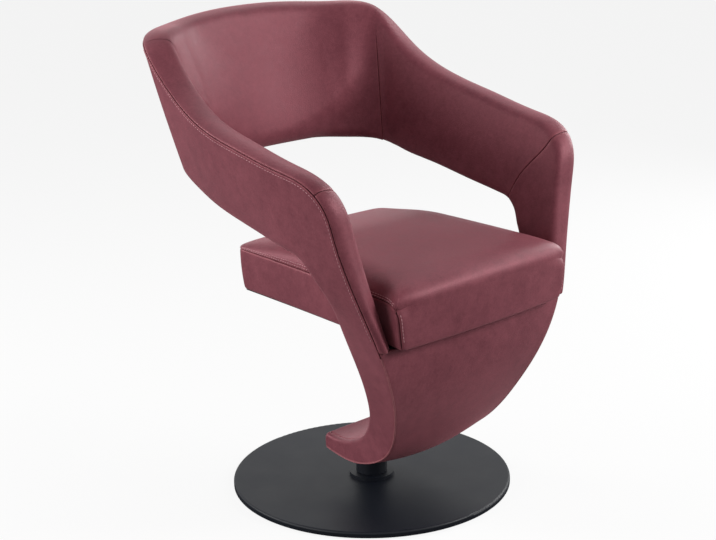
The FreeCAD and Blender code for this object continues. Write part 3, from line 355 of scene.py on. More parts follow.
@dataclass
class Panel:
    """A leather panel as a grid of points, with columns along the band and rows across it."""

    points: Grid
    normals: Grid
    across: Grid
    seam: Grid

    def build(self, name: str, mirrored: bool = False) -> bpy.types.Object:
        """Makes the panel's object.

        Args:
            name: Name of the piece.
            mirrored: True for the mirror image.

        Returns:
            The object.
        """
        points = self.points.reshape(-1, 3) * (MIRROR if mirrored else 1)
        faces = grid_faces(*self.points.shape[:2])
        return smooth_surface(mesh_object(name, points, faces, self.seam.ravel(), mirrored))

    def track(self, distance: float) -> tuple[Grid, Grid]:
        """A line on the panel beside its first row.

        Args:
            distance: Distance from the first row.

        Returns:
            The line's points, and the normals there.
        """
        spots, normals = (np.array([along_line(line, run, np.array([distance]))[0]
                                    for line, run in zip(lines, self.across)])
                          for lines in (self.points, self.normals))
        return spots, unit(normals)


def lay_panel(lines: Grid, places: Grid, rows: Ladder, columns: Ladder,
              ends: tuple[Grid | float, Grid | float],
              sinks: tuple[Grid | None, Grid | None] = (None, None),
              shape: Callable[[Grid, Grid], Grid] | None = None,
              closing: tuple[Grid | float, Grid | float] = (1.0, 1.0)) -> Panel:
    """Lays a panel over cross-sections.

    Args:
        lines: Cross-sections, close together, with shape (sections, points, 3).
        places: Place of each section along the band.
        rows: Spacing of the rows along a section, between two sewn edges.
        columns: Spacing of the columns along the band.
        ends: Place where each row starts and where it ends.
        sinks: Direction in which the first and the last row sink, one for each section, or
            None where they sink against the normal.
        shape: Changes the points of the panel before its seams sink, given points and normals.
        closing: How deep the seam across each row is at both ends of the panel, from 0 to 1.

    Returns:
        The panel.
    """
    runs = run_lengths(lines)
    across = rows.at(runs[:, -1])
    dense = np.stack([along_line(*section) for section in zip(lines, runs, across)])
    if shape is not None:
        dense = shape(dense, grid_normals(dense))
    count = rows.gaps + 1
    start, stop = (np.broadcast_to(end, (count,)) for end in ends)
    steps = columns.at(stop - start)
    stops = (start[:, None] + steps).T

    def picked(values: Grid) -> Grid:
        """Values of the close sections at the panel's own columns."""
        return np.stack([np.stack([np.interp(stops[:, row], places, values[:, row, axis])
                                   for axis in range(values.shape[2])], -1)
                         for row in range(count)], 1)

    points, normals = picked(dense), unit(picked(grid_normals(dense)))
    wide = picked(across[..., None])[..., 0]
    total = picked(np.repeat(runs[:, -1:, None], count, 1))[..., 0]
    for depth, sink in zip(rows.sinks(), sinks):
        way = -normals if sink is None else unit(picked(np.repeat(sink[:, None, :], count, 1)))
        points += way * depth[None, :, None]
    to_rows = np.minimum(wide, total[:, -1:] - wide)
    to_columns = np.full_like(to_rows, 1.0)
    to_ends = (steps.T, (np.reshape(stop - start, (-1, 1)) - steps).T)
    edges = (columns.first, columns.last)
    for depth, share, to_end, edge in zip(columns.sinks(), closing, to_ends, edges):
        share = np.broadcast_to(share, (count,))
        points -= normals * depth[:, None, None] * share[None, :, None]
        if edge is not EdgeKind.OPEN:
            to_columns = np.minimum(to_columns, to_end + (1 - share) * FAR)
    points += normals * (puff(to_rows) + puff(to_columns))[..., None]
    return Panel(points, normals, wide, np.minimum(to_rows, to_columns))


@dataclass(frozen=True)
class Stitching:
    """A row of short raised stitches."""

    length: float = 4.4 * MM
    pitch: float = 6.2 * MM
    radius: float = 0.62 * MM
    lift: float = 0.20 * MM
    around: int = 6
    rings: tuple[float, ...] = (-1.0, -0.86, -0.45, 0.45, 0.86, 1.0)
    girth: tuple[float, ...] = (0.15, 0.75, 1.0, 1.0, 0.75, 0.15)

    def stitches(self, line: Grid, normals: Grid) -> Grid:
        """Points of the stitches along one line.

        Args:
            line: Points of the line.
            normals: Normals of the leather there.

        Returns:
            Points with shape (stitches, rings, points around a ring, 3).
        """
        runs = run_lengths(line[None])[0]
        centres = np.arange(self.pitch, runs[-1] - self.pitch, self.pitch)
        ahead = unit(along_line(line, runs, centres + MM) - along_line(line, runs, centres - MM))
        above = along_line(normals, runs, centres)
        above = unit(above - ahead * (above * ahead).sum(-1, keepdims=True))
        beside = np.cross(ahead, above)
        places = np.array(self.rings)
        turns = (np.arange(self.around) * 2 * math.pi / self.around)[:, None]
        forward, bow = (places * self.length / 2)[:, None], ((1 - places ** 2) * self.lift)[:, None]
        spine = along_line(line, runs, centres)[:, None] + ahead[:, None] * forward + above[:, None] * bow
        circle = (above[:, None] * np.cos(turns) + beside[:, None] * np.sin(turns)) * self.radius
        return spine[:, :, None] + circle[:, None] * np.array(self.girth)[:, None, None]

    def build(self, name: str, tracks: list[tuple[Grid, Grid]], mirrored: bool = False) -> bpy.types.Object:
        """Makes one object with the stitches of several lines.

        Args:
            name: Name of the piece.
            tracks: Points and normals of each line.
            mirrored: True for the mirror image.

        Returns:
            The object with all the stitches.
        """
        stitches = np.concatenate([self.stitches(*track) for track in tracks])
        points = stitches.reshape(-1, 3) * (MIRROR if mirrored else 1)
        first = np.arange(len(stitches)) * len(self.rings) * self.around
        faces = (first[:, None, None] + ring_faces(self.around, len(self.rings))).reshape(-1, 4)
        return mesh_object(name, points, faces, np.full(len(points), FAR / 2), mirrored)


# Shader maths


class Value:
    """A shader socket that takes part in Python arithmetic."""

    def __init__(self, shader: "Shader", socket: bpy.types.NodeSocket | None) -> None:
        """Keeps the socket and the shader that it is in."""
        self.shader, self.socket = shader, socket

    def math(self, operation: str, *others: "Value | float", swapped: bool = False) -> "Value":
        """A Math node on this value and others, in turn or swapped."""
        inputs = [self, *others][::-1] if swapped else [self, *others]
        return self.shader.node("ShaderNodeMath", {"operation": operation}, dict(enumerate(inputs)))

    def __add__(self, other: "Value | float") -> "Value":
        """Sum."""
        return self.math("ADD", other)

    def __sub__(self, other: "Value | float") -> "Value":
        """Difference."""
        return self.math("SUBTRACT", other)

    def __rsub__(self, other: float) -> "Value":
        """Difference from a number."""
        return self.math("SUBTRACT", other, swapped=True)

    def __mul__(self, other: "Value | float") -> "Value":
        """Product."""
        return self.math("MULTIPLY", other)

    def __truediv__(self, other: "Value | float") -> "Value":
        """Quotient."""
        return self.math("DIVIDE", other)

    def __rtruediv__(self, other: float) -> "Value":
        """A number divided by this."""
        return self.math("DIVIDE", other, swapped=True)

    __radd__, __rmul__ = __add__, __mul__

    def held(self) -> "Value":
        """The value kept between 0 and 1."""
        return self.math("MAXIMUM", 0.0).math("MINIMUM", 1.0)


class Shader:
    """The node tree of a material or of the world, built from its inputs to its output."""

    def __init__(self, owner: bpy.types.Material | bpy.types.World) -> None:
        """Starts with an empty tree.

        Args:
            owner: The material or world that the tree belongs to.
        """
        owner.use_nodes = True
        self.owner, self.tree = owner, owner.node_tree
        self.tree.nodes.clear()

    @classmethod
    def of_material(cls, name: str) -> "Shader":
        """The tree of a new material."""
        return cls(bpy.data.materials.new(name))

    def node(self, kind: str, settings: dict | None = None, inputs: dict | None = None,
             output: int | str = 0) -> Value:
        """Adds a node.

        Args:
            kind: Type of the node.
            settings: Its settings, set first.
            inputs: Values or links of its sockets, by name or number.
            output: Name or number of the output that is wanted.

        Returns:
            That output, without a socket where the node has none.
        """
        node = self.tree.nodes.new(kind)
        for name, value in (settings or {}).items():
            setattr(node, name, value)
        for name, value in (inputs or {}).items():
            if isinstance(value, Value):
                self.tree.links.new(value.socket, node.inputs[name])
            else:
                node.inputs[name].default_value = value
        return Value(self, node.outputs[output] if len(node.outputs) else None)

    def place(self) -> Value:
        """Position in the piece, which moves with it."""
        return self.node("ShaderNodeTexCoord", output="Object")

    def noise(self, place: Value, scale: float, detail: float = 2.0, roughness: float = 0.5) -> Value:
        """Cloudy variation from 0 to 1."""
        return self.node("ShaderNodeTexNoise", {}, {"Vector": place, "Scale": scale, "Detail": detail,
                                                    "Roughness": roughness}, "Fac")

    def cells(self, place: Value, scale: float, feature: str = "F1") -> Value:
        """Distance in a pattern of cells."""
        return self.node("ShaderNodeTexVoronoi", {"feature": feature}, {"Vector": place, "Scale": scale},
                         "Distance")

    def wave(self, place: Value, scale: float, direction: str, distortion: float) -> Value:
        """Parallel waves."""
        return self.node("ShaderNodeTexWave", {"bands_direction": direction},
                         {"Vector": place, "Scale": scale, "Distortion": distortion}, "Fac")

    def stretched(self, place: Value, scale: Place) -> Value:
        """Position scaled differently along each axis."""
        return self.node("ShaderNodeVectorMath", {"operation": "MULTIPLY"}, {0: place, 1: scale})

    def blend(self, share: Value | float, first: Value | Colour, second: Value | Colour) -> Value:
        """A colour between two colours."""
        ends = [colour if isinstance(colour, Value) else (*colour, 1.0) for colour in (first, second)]
        return self.node("ShaderNodeMix", {"data_type": "RGBA"}, {0: share, 6: ends[0], 7: ends[1]}, 2)

    def bump(self, height: Value, distance: float, strength: float) -> Value:
        """A normal that follows a height."""
        return self.node("ShaderNodeBump", {}, {"Height": height, "Distance": distance,
                                                "Strength": strength}, "Normal")

    def ray(self, kind: str) -> Value:
        """1 for rays of one kind, 0 for the others."""
        return self.node("ShaderNodeLightPath", output=f"Is {kind} Ray")

    def ends_in(self, shader: Value) -> None:
        """Links a shader to the output of the tree."""
        kind = "World" if isinstance(self.owner, bpy.types.World) else "Material"
        self.node(f"ShaderNodeOutput{kind}", {}, {"Surface": shader})

    def surface(self, inputs: dict) -> bpy.types.Material:
        """Ends the tree in a Principled shader with those inputs."""
        self.ends_in(self.node("ShaderNodeBsdfPrincipled", {}, inputs))
        return self.owner


def linear(red: int, green: int, blue: int) -> Colour:
    """A colour in scene units from the 0 to 255 numbers of a screen."""
    shares = (red / 255, green / 255, blue / 255)
    return tuple(share / 12.92 if share <= 0.04045 else ((share + 0.055) / 1.055) ** 2.4
                 for share in shares)


# Finishes


@dataclass(frozen=True)
class LeatherFinish:
    """Semi-aniline leather: fine pebbled grain and cloudy dye, lighter beside its seams from wear and a
    painted highlight, and darkened in the seam grooves by painted shade.
    """

    name: str = "burgundy_leather"
    deep: Colour = linear(108, 55, 65)
    light: Colour = linear(143, 80, 90)
    # Lighter colour beside the seams: wear, together with a painted highlight on the seam roll
    wear_and_highlight: Colour = linear(176, 102, 106)
    # Colour of the grain's fine creases, and of the painted shade in each seam's groove
    crease: Colour = linear(44, 14, 20)
    gloss: Colour = (1.0, 0.40, 0.46)
    sheen: Colour = (1.0, 0.36, 0.42)
    roughness: float = 0.44
    cloud_scale: float = 7.0
    mottle_scale: float = 55.0
    speck_scale: float = 190.0
    pebble_scale: float = 760.0
    fold_scale: float = 760.0 * 0.42
    groove_mm: float = 0.9
    ridge_mm: float = 2.2
    ridge_width_mm: float = 2.4
    grain_depth: float = 0.22 * MM

    def material(self) -> bpy.types.Material:
        """Builds the material.

        Returns:
            The material.
        """
        shader = Shader.of_material(self.name)
        place = shader.place()
        seam = shader.node("ShaderNodeAttribute", {"attribute_name": "seam_mm"}, output="Fac")
        clouds = shader.noise(place, self.cloud_scale, 3.0, 0.6)
        mottle = shader.noise(place, self.mottle_scale, 3.0, 0.55)
        specks = shader.noise(place, self.speck_scale)
        pebbles = shader.cells(place, self.pebble_scale, "SMOOTH_F1")
        folds = shader.cells(place, self.fold_scale, "DISTANCE_TO_EDGE")
        # Lighter band beside each seam, partly wear and partly a painted highlight
        ridge_wear_and_highlight = (1 - (seam - self.ridge_mm).math("ABSOLUTE") / self.ridge_width_mm).held()
        # Painted shade: the leather darkens towards the crease colour in the groove of each seam
        groove_shade = (1 - seam / self.groove_mm).held()
        tone = ((clouds - 0.5) * 1.1 + (mottle - 0.5) * 0.9 + (specks - 0.5) * 0.6 + 0.5).held()
        colour = shader.blend(tone, self.deep, self.light)
        # Wear and painted highlight beside the seams
        colour = shader.blend(ridge_wear_and_highlight * mottle * 0.38, colour, self.wear_and_highlight)
        colour = shader.blend((1 - folds * 9.0).held() * 0.16, colour, self.crease)
        # Painted shade in the seam grooves
        colour = shader.blend(groove_shade * 0.8, colour, self.crease)
        rough = (mottle - 0.5) * 0.16 + (clouds - 0.5) * 0.08 - ridge_wear_and_highlight * 0.05 + self.roughness
        height = (folds * 6.0).held() * 0.7 - pebbles * 0.35 + mottle * 0.5
        return shader.surface({"Base Color": colour, "Roughness": rough, "Specular IOR Level": 0.42,
                               "Specular Tint": (*self.gloss, 1.0), "Sheen Weight": 0.30,
                               "Sheen Roughness": 0.45, "Sheen Tint": (*self.sheen, 1.0),
                               "Normal": shader.bump(height, self.grain_depth, 0.55)})


class Pattern(Enum):
    """Kinds of surface that a plain finish can have."""

    PEBBLED = "pebbled"
    FIBRES = "fibres"
    BRUSHED = "brushed"
    WOVEN = "woven"
    LAYERED = "layered"
    OPEN_CELLS = "open cells"
    TWISTED = "twisted"


@dataclass(frozen=True)
class PlainFinish:
    """A finish with two tones, a pattern at its real scale and a slight relief."""

    name: str
    deep: Colour
    light: Colour
    pattern: Pattern
    roughness: float
    spread: float = 0.08
    metallic: float = 0.0
    relief: float = 0.1 * MM
    scale: float = 600.0
    shine: float = 0.5

    def height(self, shader: Shader, place: Value) -> Value:
        """The pattern as a height.

        Args:
            shader: The shader that it is made in.
            place: Position in the piece.

        Returns:
            The height, from about 0 to 1.
        """
        if self.pattern is Pattern.PEBBLED:
            return shader.noise(place, self.scale)
        if self.pattern is Pattern.FIBRES:
            return shader.noise(shader.stretched(place, (1.0, 0.35, 1.0)), self.scale, 5.0, 0.7)
        if self.pattern is Pattern.BRUSHED:
            return shader.noise(shader.stretched(place, (1.0, 1.0, 18.0)), self.scale, 3.0)
        if self.pattern is Pattern.LAYERED:
            layers = shader.noise(shader.stretched(place, (0.06, 1.0, 9.0)), self.scale, 4.0, 0.6)
            return layers * 0.6 + shader.noise(place, self.scale * 4) * 0.4
        if self.pattern is Pattern.OPEN_CELLS:
            return shader.cells(place, self.scale)
        if self.pattern is Pattern.TWISTED:
            return shader.wave(place, self.scale, "DIAGONAL", 1.0)
        warp, weft = (shader.wave(place, self.scale, direction, 0.4) for direction in ("X", "Y"))
        return warp.math("MAXIMUM", weft)

    def material(self) -> bpy.types.Material:
        """Builds the material.

        Returns:
            The material.
        """
        shader = Shader.of_material(self.name)
        place = shader.place()
        height = self.height(shader, place)
        clouds = shader.noise(place, 14.0, 3.0, 0.6)
        tone = (height * 0.5 + clouds * 0.6 - 0.05).held()
        rough = (clouds - 0.5) * self.spread * 2 + (height - 0.5) * self.spread + self.roughness
        return shader.surface({"Base Color": shader.blend(tone, self.deep, self.light),
                               "Roughness": rough, "Metallic": self.metallic,
                               "Specular IOR Level": self.shine,
                               "Normal": shader.bump(height, self.relief, 0.6)})


FINISHES = {
    "leather": LeatherFinish(),
    # Lighter leather for the foot piping: partly wear, partly a painted highlight along the welt
    "rubbed_and_highlit_leather": LeatherFinish("rubbed_and_highlit_leather", linear(134, 80, 87), linear(164, 104, 111)),
    "black_powder_coat": PlainFinish("black_powder_coat", linear(6, 9, 16), linear(14, 18, 28),
                                     Pattern.PEBBLED, 0.46, 0.06, relief=0.03 * MM, scale=900.0,
                                     shine=0.25),
    "frame_paint": PlainFinish("grey_primer", linear(62, 63, 66), linear(84, 85, 88),
                               Pattern.PEBBLED, 0.6, relief=0.06 * MM),
    "bright_steel": PlainFinish("machined_steel", linear(150, 152, 155), linear(198, 199, 200),
                                Pattern.BRUSHED, 0.32, 0.1, 1.0, relief=0.02 * MM),
    "grey_felt": PlainFinish("pressed_felt", linear(78, 78, 80), linear(124, 124, 126),
                             Pattern.FIBRES, 0.95, 0.03, relief=0.4 * MM, scale=900.0),
    "plywood": PlainFinish("birch_plywood", linear(178, 140, 96), linear(214, 180, 134),
                           Pattern.LAYERED, 0.62, scale=60.0),
    "lining_cloth": PlainFinish("black_lining", linear(18, 18, 19), linear(44, 44, 46),
                                Pattern.WOVEN, 0.9, 0.04, relief=0.2 * MM, scale=420.0),
    "bearing_plastic": PlainFinish("natural_acetal", linear(214, 210, 196), linear(232, 229, 216),
                                   Pattern.PEBBLED, 0.4, relief=0.02 * MM),
    "foam": PlainFinish("moulded_foam", linear(205, 192, 150), linear(232, 222, 186),
                        Pattern.OPEN_CELLS, 0.95, 0.03, relief=0.6 * MM, scale=700.0),
    "thread": PlainFinish("rose_thread", linear(184, 126, 134), linear(222, 166, 172),
                          Pattern.TWISTED, 0.62, scale=700.0),
}


class Palette:
    """Materials by finish, each made once."""

    def __init__(self) -> None:
        """Starts without a material."""
        self.made: dict[str, bpy.types.Material] = {}

    def material(self, finish: str) -> bpy.types.Material:
        """The material of a finish.

        Args:
            finish: Name of the finish.

        Returns:
            The material, made when it is first asked for.
        """
        if finish not in self.made:
            self.made[finish] = FINISHES[finish].material()
        return self.made[finish]

    def dress(self, item: bpy.types.Object, finish: str, replaces: tuple[str, ...] = (),
              fill: float | None = None) -> None:
        """Gives a new piece its material and its body, and hides the CAD nodes that it stands for.

        Args:
            item: The piece.
            finish: Its finish.
            replaces: CAD nodes that it stands for.
            fill: How full the piece is, where it is padded; not used.
        """
        item.data.materials.append(self.material(finish))
        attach(item, CHAIR)
        if replaces:
            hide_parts(*replaces)
        log.info("%s: %d faces, on %s", item.name, len(item.data.polygons), CHAIR)


# The upholstered band


@dataclass(frozen=True)
class Station:
    """One cross-section of half the band, in millimetres and degrees.

    The outer face runs from the upper seam to its lower or rear edge. The rest is the plan
    angle of the inside, the thickness at the seam and at the other edge, how far the inside
    reaches beyond that edge, and the swell of the face between the two seams.
    """

    name: str
    upper: Place
    lower: Place
    facing: float
    width: float
    low_width: float
    drop: float
    swell: float


STATIONS = (
    Station("back_centre", (0, 347, 820), (0, 295, 582), 90, 44, 46, 16, 7),
    Station("back_middle", (120, 334, 816), (114, 282, 581), 80, 44, 45, 17, 7),
    Station("back_side", (213, 304, 809), (191, 249, 578), 66, 46, 42, 23, 7),
    Station("corner", (274, 252, 799), (237, 199, 576), 42, 50, 37, 26, 4),
    Station("shoulder", (293, 166, 736), (252, 139, 557), 12, 50, 38, 14, 3.5),
    Station("arm_rear", (304, 75, 690), (264, 72, 541), 3, 49, 45, 12, 4.5),
    Station("arm_middle", (308, -26, 665), (271, -26, 521), 0, 48, 50, 11, 5),
    Station("arm_front", (306, -125, 645), (276, -98, 507), 0, 46, 52, 10, 5),
    Station("knee_top", (303, -180, 631), (274, -121, 500), 0, 44, 51, 9, 5),
    Station("knee_front", (295, -213, 597), (270, -138, 484), 0, 45, 50, 10, 5),
    Station("shin", (283, -222, 546), (263, -152, 462), 0, 45, 46, 15, 5),
    Station("seat_line", (258, -234, 464), (249, -165, 431), 0, 40, 37, 14, 4),
    Station("ledge", (220, -250, 359), (211, -161, 357), 0, 27, 22, 0, 10),
    Station("belly", (191, -246, 290), (181, -161, 288), 0, 27, 22, 0, 9),
    Station("calf", (150, -213, 199), (140, -139, 204), 0, 27, 22, 0, 11),
    Station("heel", (117, -150, 119), (110, -99, 154), 0, 27, 22, 0, 13),
    Station("sole", (98, -73, 82), (97, -66, 126), 0, 27, 22, 0, 9),
    Station("arch", (90, -26, 75), (89, -25, 109), 0, 27, 22, 0, 4),
    Station("toe", (84, 35, 82), (84, 36, 108), 0, 27, 22, 0, 1.5),
)


@dataclass
class Band:
    """The two rails of one half of the band, and the sections between them."""

    stations: tuple[Station, ...] = STATIONS
    outer_low_radius: float = 9 * MM
    inner_low_radius: float = 12 * MM
    inner_top_radius: float = 16 * MM
    back_low_radius: float = 24 * MM
    back_overlap: float = 40 * MM
    back_blend: float = 120 * MM
    outer_swell: float = 1.6 * MM
    side_swell: float = 3 * MM
    rear_swell: float = 3 * MM
    hem: float = 15 * MM
    nose: float = 9 * MM
    step: float = 3 * MM
    around_inside: float = 270 * MM
    closing_end: float = 0.74
    closing_fade: float = 0.1
    side_steps: int = 26
    strip_steps: int = 14
    front_steps: int = 60
    rear_steps: int = 50

    def __post_init__(self) -> None:
        """Lays the rails through the stations, and on into the other half of the back."""
        upper, lower = (np.array([getattr(station, rail) for station in self.stations], float) * MM
                        for rail in ("upper", "lower"))
        flows = np.array([(s.facing, s.width * MM, s.low_width * MM, s.drop * MM, s.swell * MM)
                          for s in self.stations], float)
        mirrored = flows[2:0:-1].copy()
        mirrored[:, 0] = 180 - mirrored[:, 0]
        upper = np.vstack([upper[2:0:-1] * MIRROR, upper])
        lower = np.vstack([lower[2:0:-1] * MIRROR, lower])
        places = run_lengths(((upper + lower) / 2)[None])[0]
        places = places - places[2]
        self.places = {station.name: place for station, place in zip(self.stations, places[2:])}
        self.upper, self.lower = Curve.smooth(places, upper), Curve.smooth(places, lower)
        self.flows = Curve.steady(places, np.vstack([mirrored, flows]))

    @property
    def end(self) -> float:
        """Place where the panels stop and the toe begins to round."""
        return self.places["toe"] - self.nose

    def between(self, first: float, last: float) -> Grid:
        """Close places from one place to another."""
        return np.linspace(first, last, max(int(abs(last - first) / self.step), 3) + 1)

    def axes(self, at: Grid) -> tuple[Grid, Grid, Grid, Grid]:
        """Axes of the sections.

        Args:
            at: Places along the band.

        Returns:
            Start, inward direction, downward direction and depth of each section.
        """
        upper, lower = self.upper(at), self.lower(at)
        along = unit(lower - upper)
        angle = np.radians(self.flows(at)[:, 0])
        inward = np.stack([-np.cos(angle), -np.sin(angle), np.zeros_like(angle)], 1)
        inward = unit(inward - along * (inward * along).sum(1, keepdims=True))
        return upper, inward, along, np.linalg.norm(lower - upper, axis=1)

    def seam_sink(self, at: Grid) -> Grid:
        """Direction in which both panels sink into the outer seam."""
        _, inward, along, _ = self.axes(at)
        return unit(inward + along)

    def corner_closing(self, rows: Ladder) -> Grid:
        """Depth of a back corner's seam on each row: full inside, gone on the top strip."""
        share = rows.at(np.array([self.around_inside]))[0] / self.around_inside
        return np.clip((self.closing_end - share) / self.closing_fade, 0, 1)

    def sections(self, at: Grid) -> tuple[Grid, Grid]:
        """Cross-sections of the band.

        Args:
            at: Places along the band.

        Returns:
            Lines from the outer seam to the hem, and lines from the hem back to the seam.
        """
        start, inward, along, depth = self.axes(at)
        _, width, low, drop, swell = self.flows(at).T
        zero = np.zeros_like(depth)
        limit = 0.35 * np.minimum(depth, low)
        outer_low = np.minimum(self.outer_low_radius, limit)
        in_back = np.clip((self.places["corner"] + self.back_overlap - np.abs(at)) / self.back_blend, 0, 1)
        inner_low = self.inner_low_radius + (self.back_low_radius - self.inner_low_radius) * in_back
        inner_low = np.minimum(inner_low, 0.55 * np.minimum(depth, low))[:, None]
        inner_top = np.minimum(self.inner_top_radius, 1.2 * limit)[:, None]
        under = unit(np.stack([low, drop], 1))
        down, left = np.stack([zero, zero + 1], 1), np.stack([zero - 1, zero], 1)
        foot, heel = np.stack([zero, depth], 1), np.stack([low, depth + drop], 1)
        head = np.stack([width, zero], 1)
        hem = foot + under * np.minimum(self.hem, np.hypot(low, drop) / 2)[:, None]
        bulge = (self.outer_swell * np.minimum(depth / 0.1, 1) + 0.1 * MM)[:, None]
        outer = joined(bulged(0 * foot, foot - down * outer_low[:, None], left * bulge, self.side_steps),
                       rounded(foot, -down, under, outer_low),
                       bulged(foot + under * outer_low[:, None], hem, 0 * hem, 4))
        inner = joined(bulged(hem, heel - under * inner_low, 0 * hem, 5),
                       rounded(heel, -under, -down, inner_low[:, 0]),
                       bulged(heel - down * inner_low, head + down * inner_top, -left * self.side_swell,
                              self.side_steps),
                       rounded(head, down, left, inner_top[:, 0], 9),
                       bulged(head + left * inner_top, 0 * head, -down * swell[:, None], self.strip_steps))
        outer, inner = (start[:, None] + inward[:, None] * flat[..., :1] + along[:, None] * flat[..., 1:]
                        for flat in (outer, inner))
        return outer, inner

    def foot_faces(self, at: Grid) -> tuple[Grid, Grid]:
        """Lines across the foot.

        Args:
            at: Places along the band.

        Returns:
            Lines across the front from left to right, and lines across the rear back again.
        """
        start, inward, along, depth = self.axes(at)
        flows = self.flows(at)
        level = unit(along * np.array([0, 1.0, 1.0]))
        hem = start + inward * (flows[:, 2:3] / 2) + along * depth[:, None]
        span = self.places["sole"] - self.places["ledge"]
        share = np.clip((self.places["sole"] - at) / span, 0, 1)
        rear = (0.3 * MM + self.rear_swell * share)[:, None]
        return (bulged(start * MIRROR, start, -level * flows[:, 4:5], self.front_steps),
                bulged(hem, hem * MIRROR, level * rear, self.rear_steps))


@dataclass
class BandCovers:
    """Leather of the arms and the posts, sewn at the outer seam, the back corners and the knees."""

    band: Band
    palette: Palette
    rows: Ladder = Ladder.sewn(22)
    mitre_lead: float = 15 * MM
    mitre_start: float = 0.30
    mitre_run: float = 0.42
    stitch_inset: float = 6.5 * MM
    stitch_end: float = 370 * MM

    def side_panel(self) -> Panel:
        """The outer side, from the corner of the back to the toe.

        Returns:
            The panel.
        """
        ends = (self.band.places["corner"], self.band.end)
        places = self.band.between(*ends)
        outer, _ = self.band.sections(places)
        columns = Ladder(EdgeKind.FINE, EdgeKind.OPEN, 170)
        return lay_panel(outer, places, Ladder.sewn(18), columns, ends, (self.band.seam_sink(places), None))

    def knee_seam(self) -> Grid:
        """The seam across the knee, further forward on the top strip.

        Returns:
            Place of the seam on each row.
        """
        knee = self.band.places["knee_top"]
        _, inner = self.band.sections(np.array([knee]))
        total = run_lengths(inner)[:, -1]
        share = self.rows.at(total)[0] / total[0]
        return knee + self.mitre_lead * eased((share - self.mitre_start) / self.mitre_run)

    def inner_panel(self, first: float | Grid, last: float | Grid, count: int,
                    closing: Grid | float = 1.0) -> Panel:
        """The inner side and the top strip between two seams.

        Args:
            first: Place of the first seam, or its place on each row.
            last: Place of the last seam, or its place on each row.
            count: Number of columns between the closest ones at the seams.
            closing: How deep the first seam is on each row.

        Returns:
            The panel.
        """
        places = self.band.between(np.min(first) - 2 * MM, np.max(last) + 2 * MM)
        _, inner = self.band.sections(places)
        columns = Ladder(EdgeKind.FINE, EdgeKind.FINE, count)
        sinks = (None, self.band.seam_sink(places))
        return lay_panel(inner, places, self.rows, columns, (first, last), sinks, closing=(closing, 1.0))

    def build(self) -> None:
        """Makes the panels and their stitching on both sides."""
        places, knee = self.band.places, self.knee_seam()
        side = self.side_panel()
        arm = self.inner_panel(places["corner"], knee, 58, self.band.corner_closing(self.rows))
        post = self.inner_panel(knee, places["ledge"], 34)
        line, normals = side.track(self.stitch_inset)
        shown = np.searchsorted(-line[:, 2], -self.stitch_end)
        for hand in Side:
            for panel, name, nodes in ((side, "side_panel", ("side_cover",)),
                                       (arm, "arm_inner", ("arm_inner_cover", "arm_foam")),
                                       (post, "post_inner", ("post_inner_cover", "post_foam"))):
                self.palette.dress(panel.build(f"{name}_{hand.value}", hand.mirrored), "leather",
                                   replaces=tuple(f"{node}_{hand.value}" for node in nodes), fill=0.8)
            stitches = Stitching().build(f"side_stitching_{hand.value}", [(line[:shown], normals[:shown])],
                                         hand.mirrored)
            self.palette.dress(stitches, "thread")


@dataclass
class BackCovers:
    """Leather of the low back: a plain outer panel and a fuller inner one with a soft fold."""

    band: Band
    palette: Palette
    rows: Ladder = Ladder.sewn(30)
    columns: Ladder = Ladder(EdgeKind.FINE, EdgeKind.FINE, 84)
    pad_rise: float = 17 * MM
    fold_low: float = 604 * MM
    fold_climb: float = 3.8
    fold_power: float = 2.26
    fold_fade: float = 70 * MM
    fold_softness: float = 3 * MM
    reach_above: float = 150 * MM
    reach_below: float = 40 * MM
    full_from: float = 140 * MM
    middle_share: float = 0.6

    def halves(self, which: int) -> tuple[Grid, Grid]:
        """Sections across the whole back.

        Args:
            which: 0 for the outer sections, 1 for the inner ones.

        Returns:
            The sections from left to right, and their places.
        """
        places = self.band.between(0.0, self.band.places["corner"])
        right = self.band.sections(places)[which]
        left = (right * MIRROR)[:0:-1]
        return np.concatenate([left, right]), np.concatenate([-places[:0:-1], places])

    def padded_shape(self, points: Grid, normals: Grid) -> Grid:
        """Raises the lumbar pad, which ends in a soft fold across the lower corners.

        Args:
            points: Points of the inner panel.
            normals: Its normals.

        Returns:
            The raised points.
        """
        side, height = np.abs(points[..., 0]), points[..., 2]
        fold = self.fold_low + self.fold_climb * side ** self.fold_power
        steep = self.fold_climb * self.fold_power * side ** (self.fold_power - 1)
        past = (height - fold) / np.sqrt(1 + steep ** 2)
        below = np.hypot(np.minimum(past, 0), self.fold_softness) - self.fold_softness
        rise = eased(1 - np.maximum(past, 0) / self.reach_above)
        rise = rise * np.clip(1 - below / self.reach_below, 0, 1)
        from_seam = np.minimum(*(np.linalg.norm(points - points[[end]], axis=-1) for end in (0, -1)))
        full = np.clip(side / self.full_from, 0, 1) ** 2
        strength = self.middle_share + (1 - self.middle_share) * full
        strength = eased(from_seam / self.fold_fade) * strength
        faces_front = np.minimum(np.clip(-normals[..., 1], 0, 1) * 1.6, 1)
        return points + normals * (self.pad_rise * strength * rise * faces_front)[..., None]

    def build(self) -> None:
        """Makes both panels."""
        corner = self.band.places["corner"]
        closing = self.band.corner_closing(self.rows)
        for which, name, nodes, shape in (
                (0, "back_outer", ("back_outer_cover",), None),
                (1, "back_inner", ("back_inner_cover", "back_foam"), self.padded_shape)):
            lines, places = self.halves(which)
            sink = self.band.seam_sink(np.abs(places))
            sink = np.where(places[:, None] < 0, sink * MIRROR, sink)
            panel = lay_panel(lines, places, self.rows, self.columns, (-corner, corner),
                              (None, sink) if which else (sink, None), shape,
                              (closing, closing) if which else (1.0, 1.0))
            self.palette.dress(panel.build(name), "leather", replaces=nodes, fill=0.7)


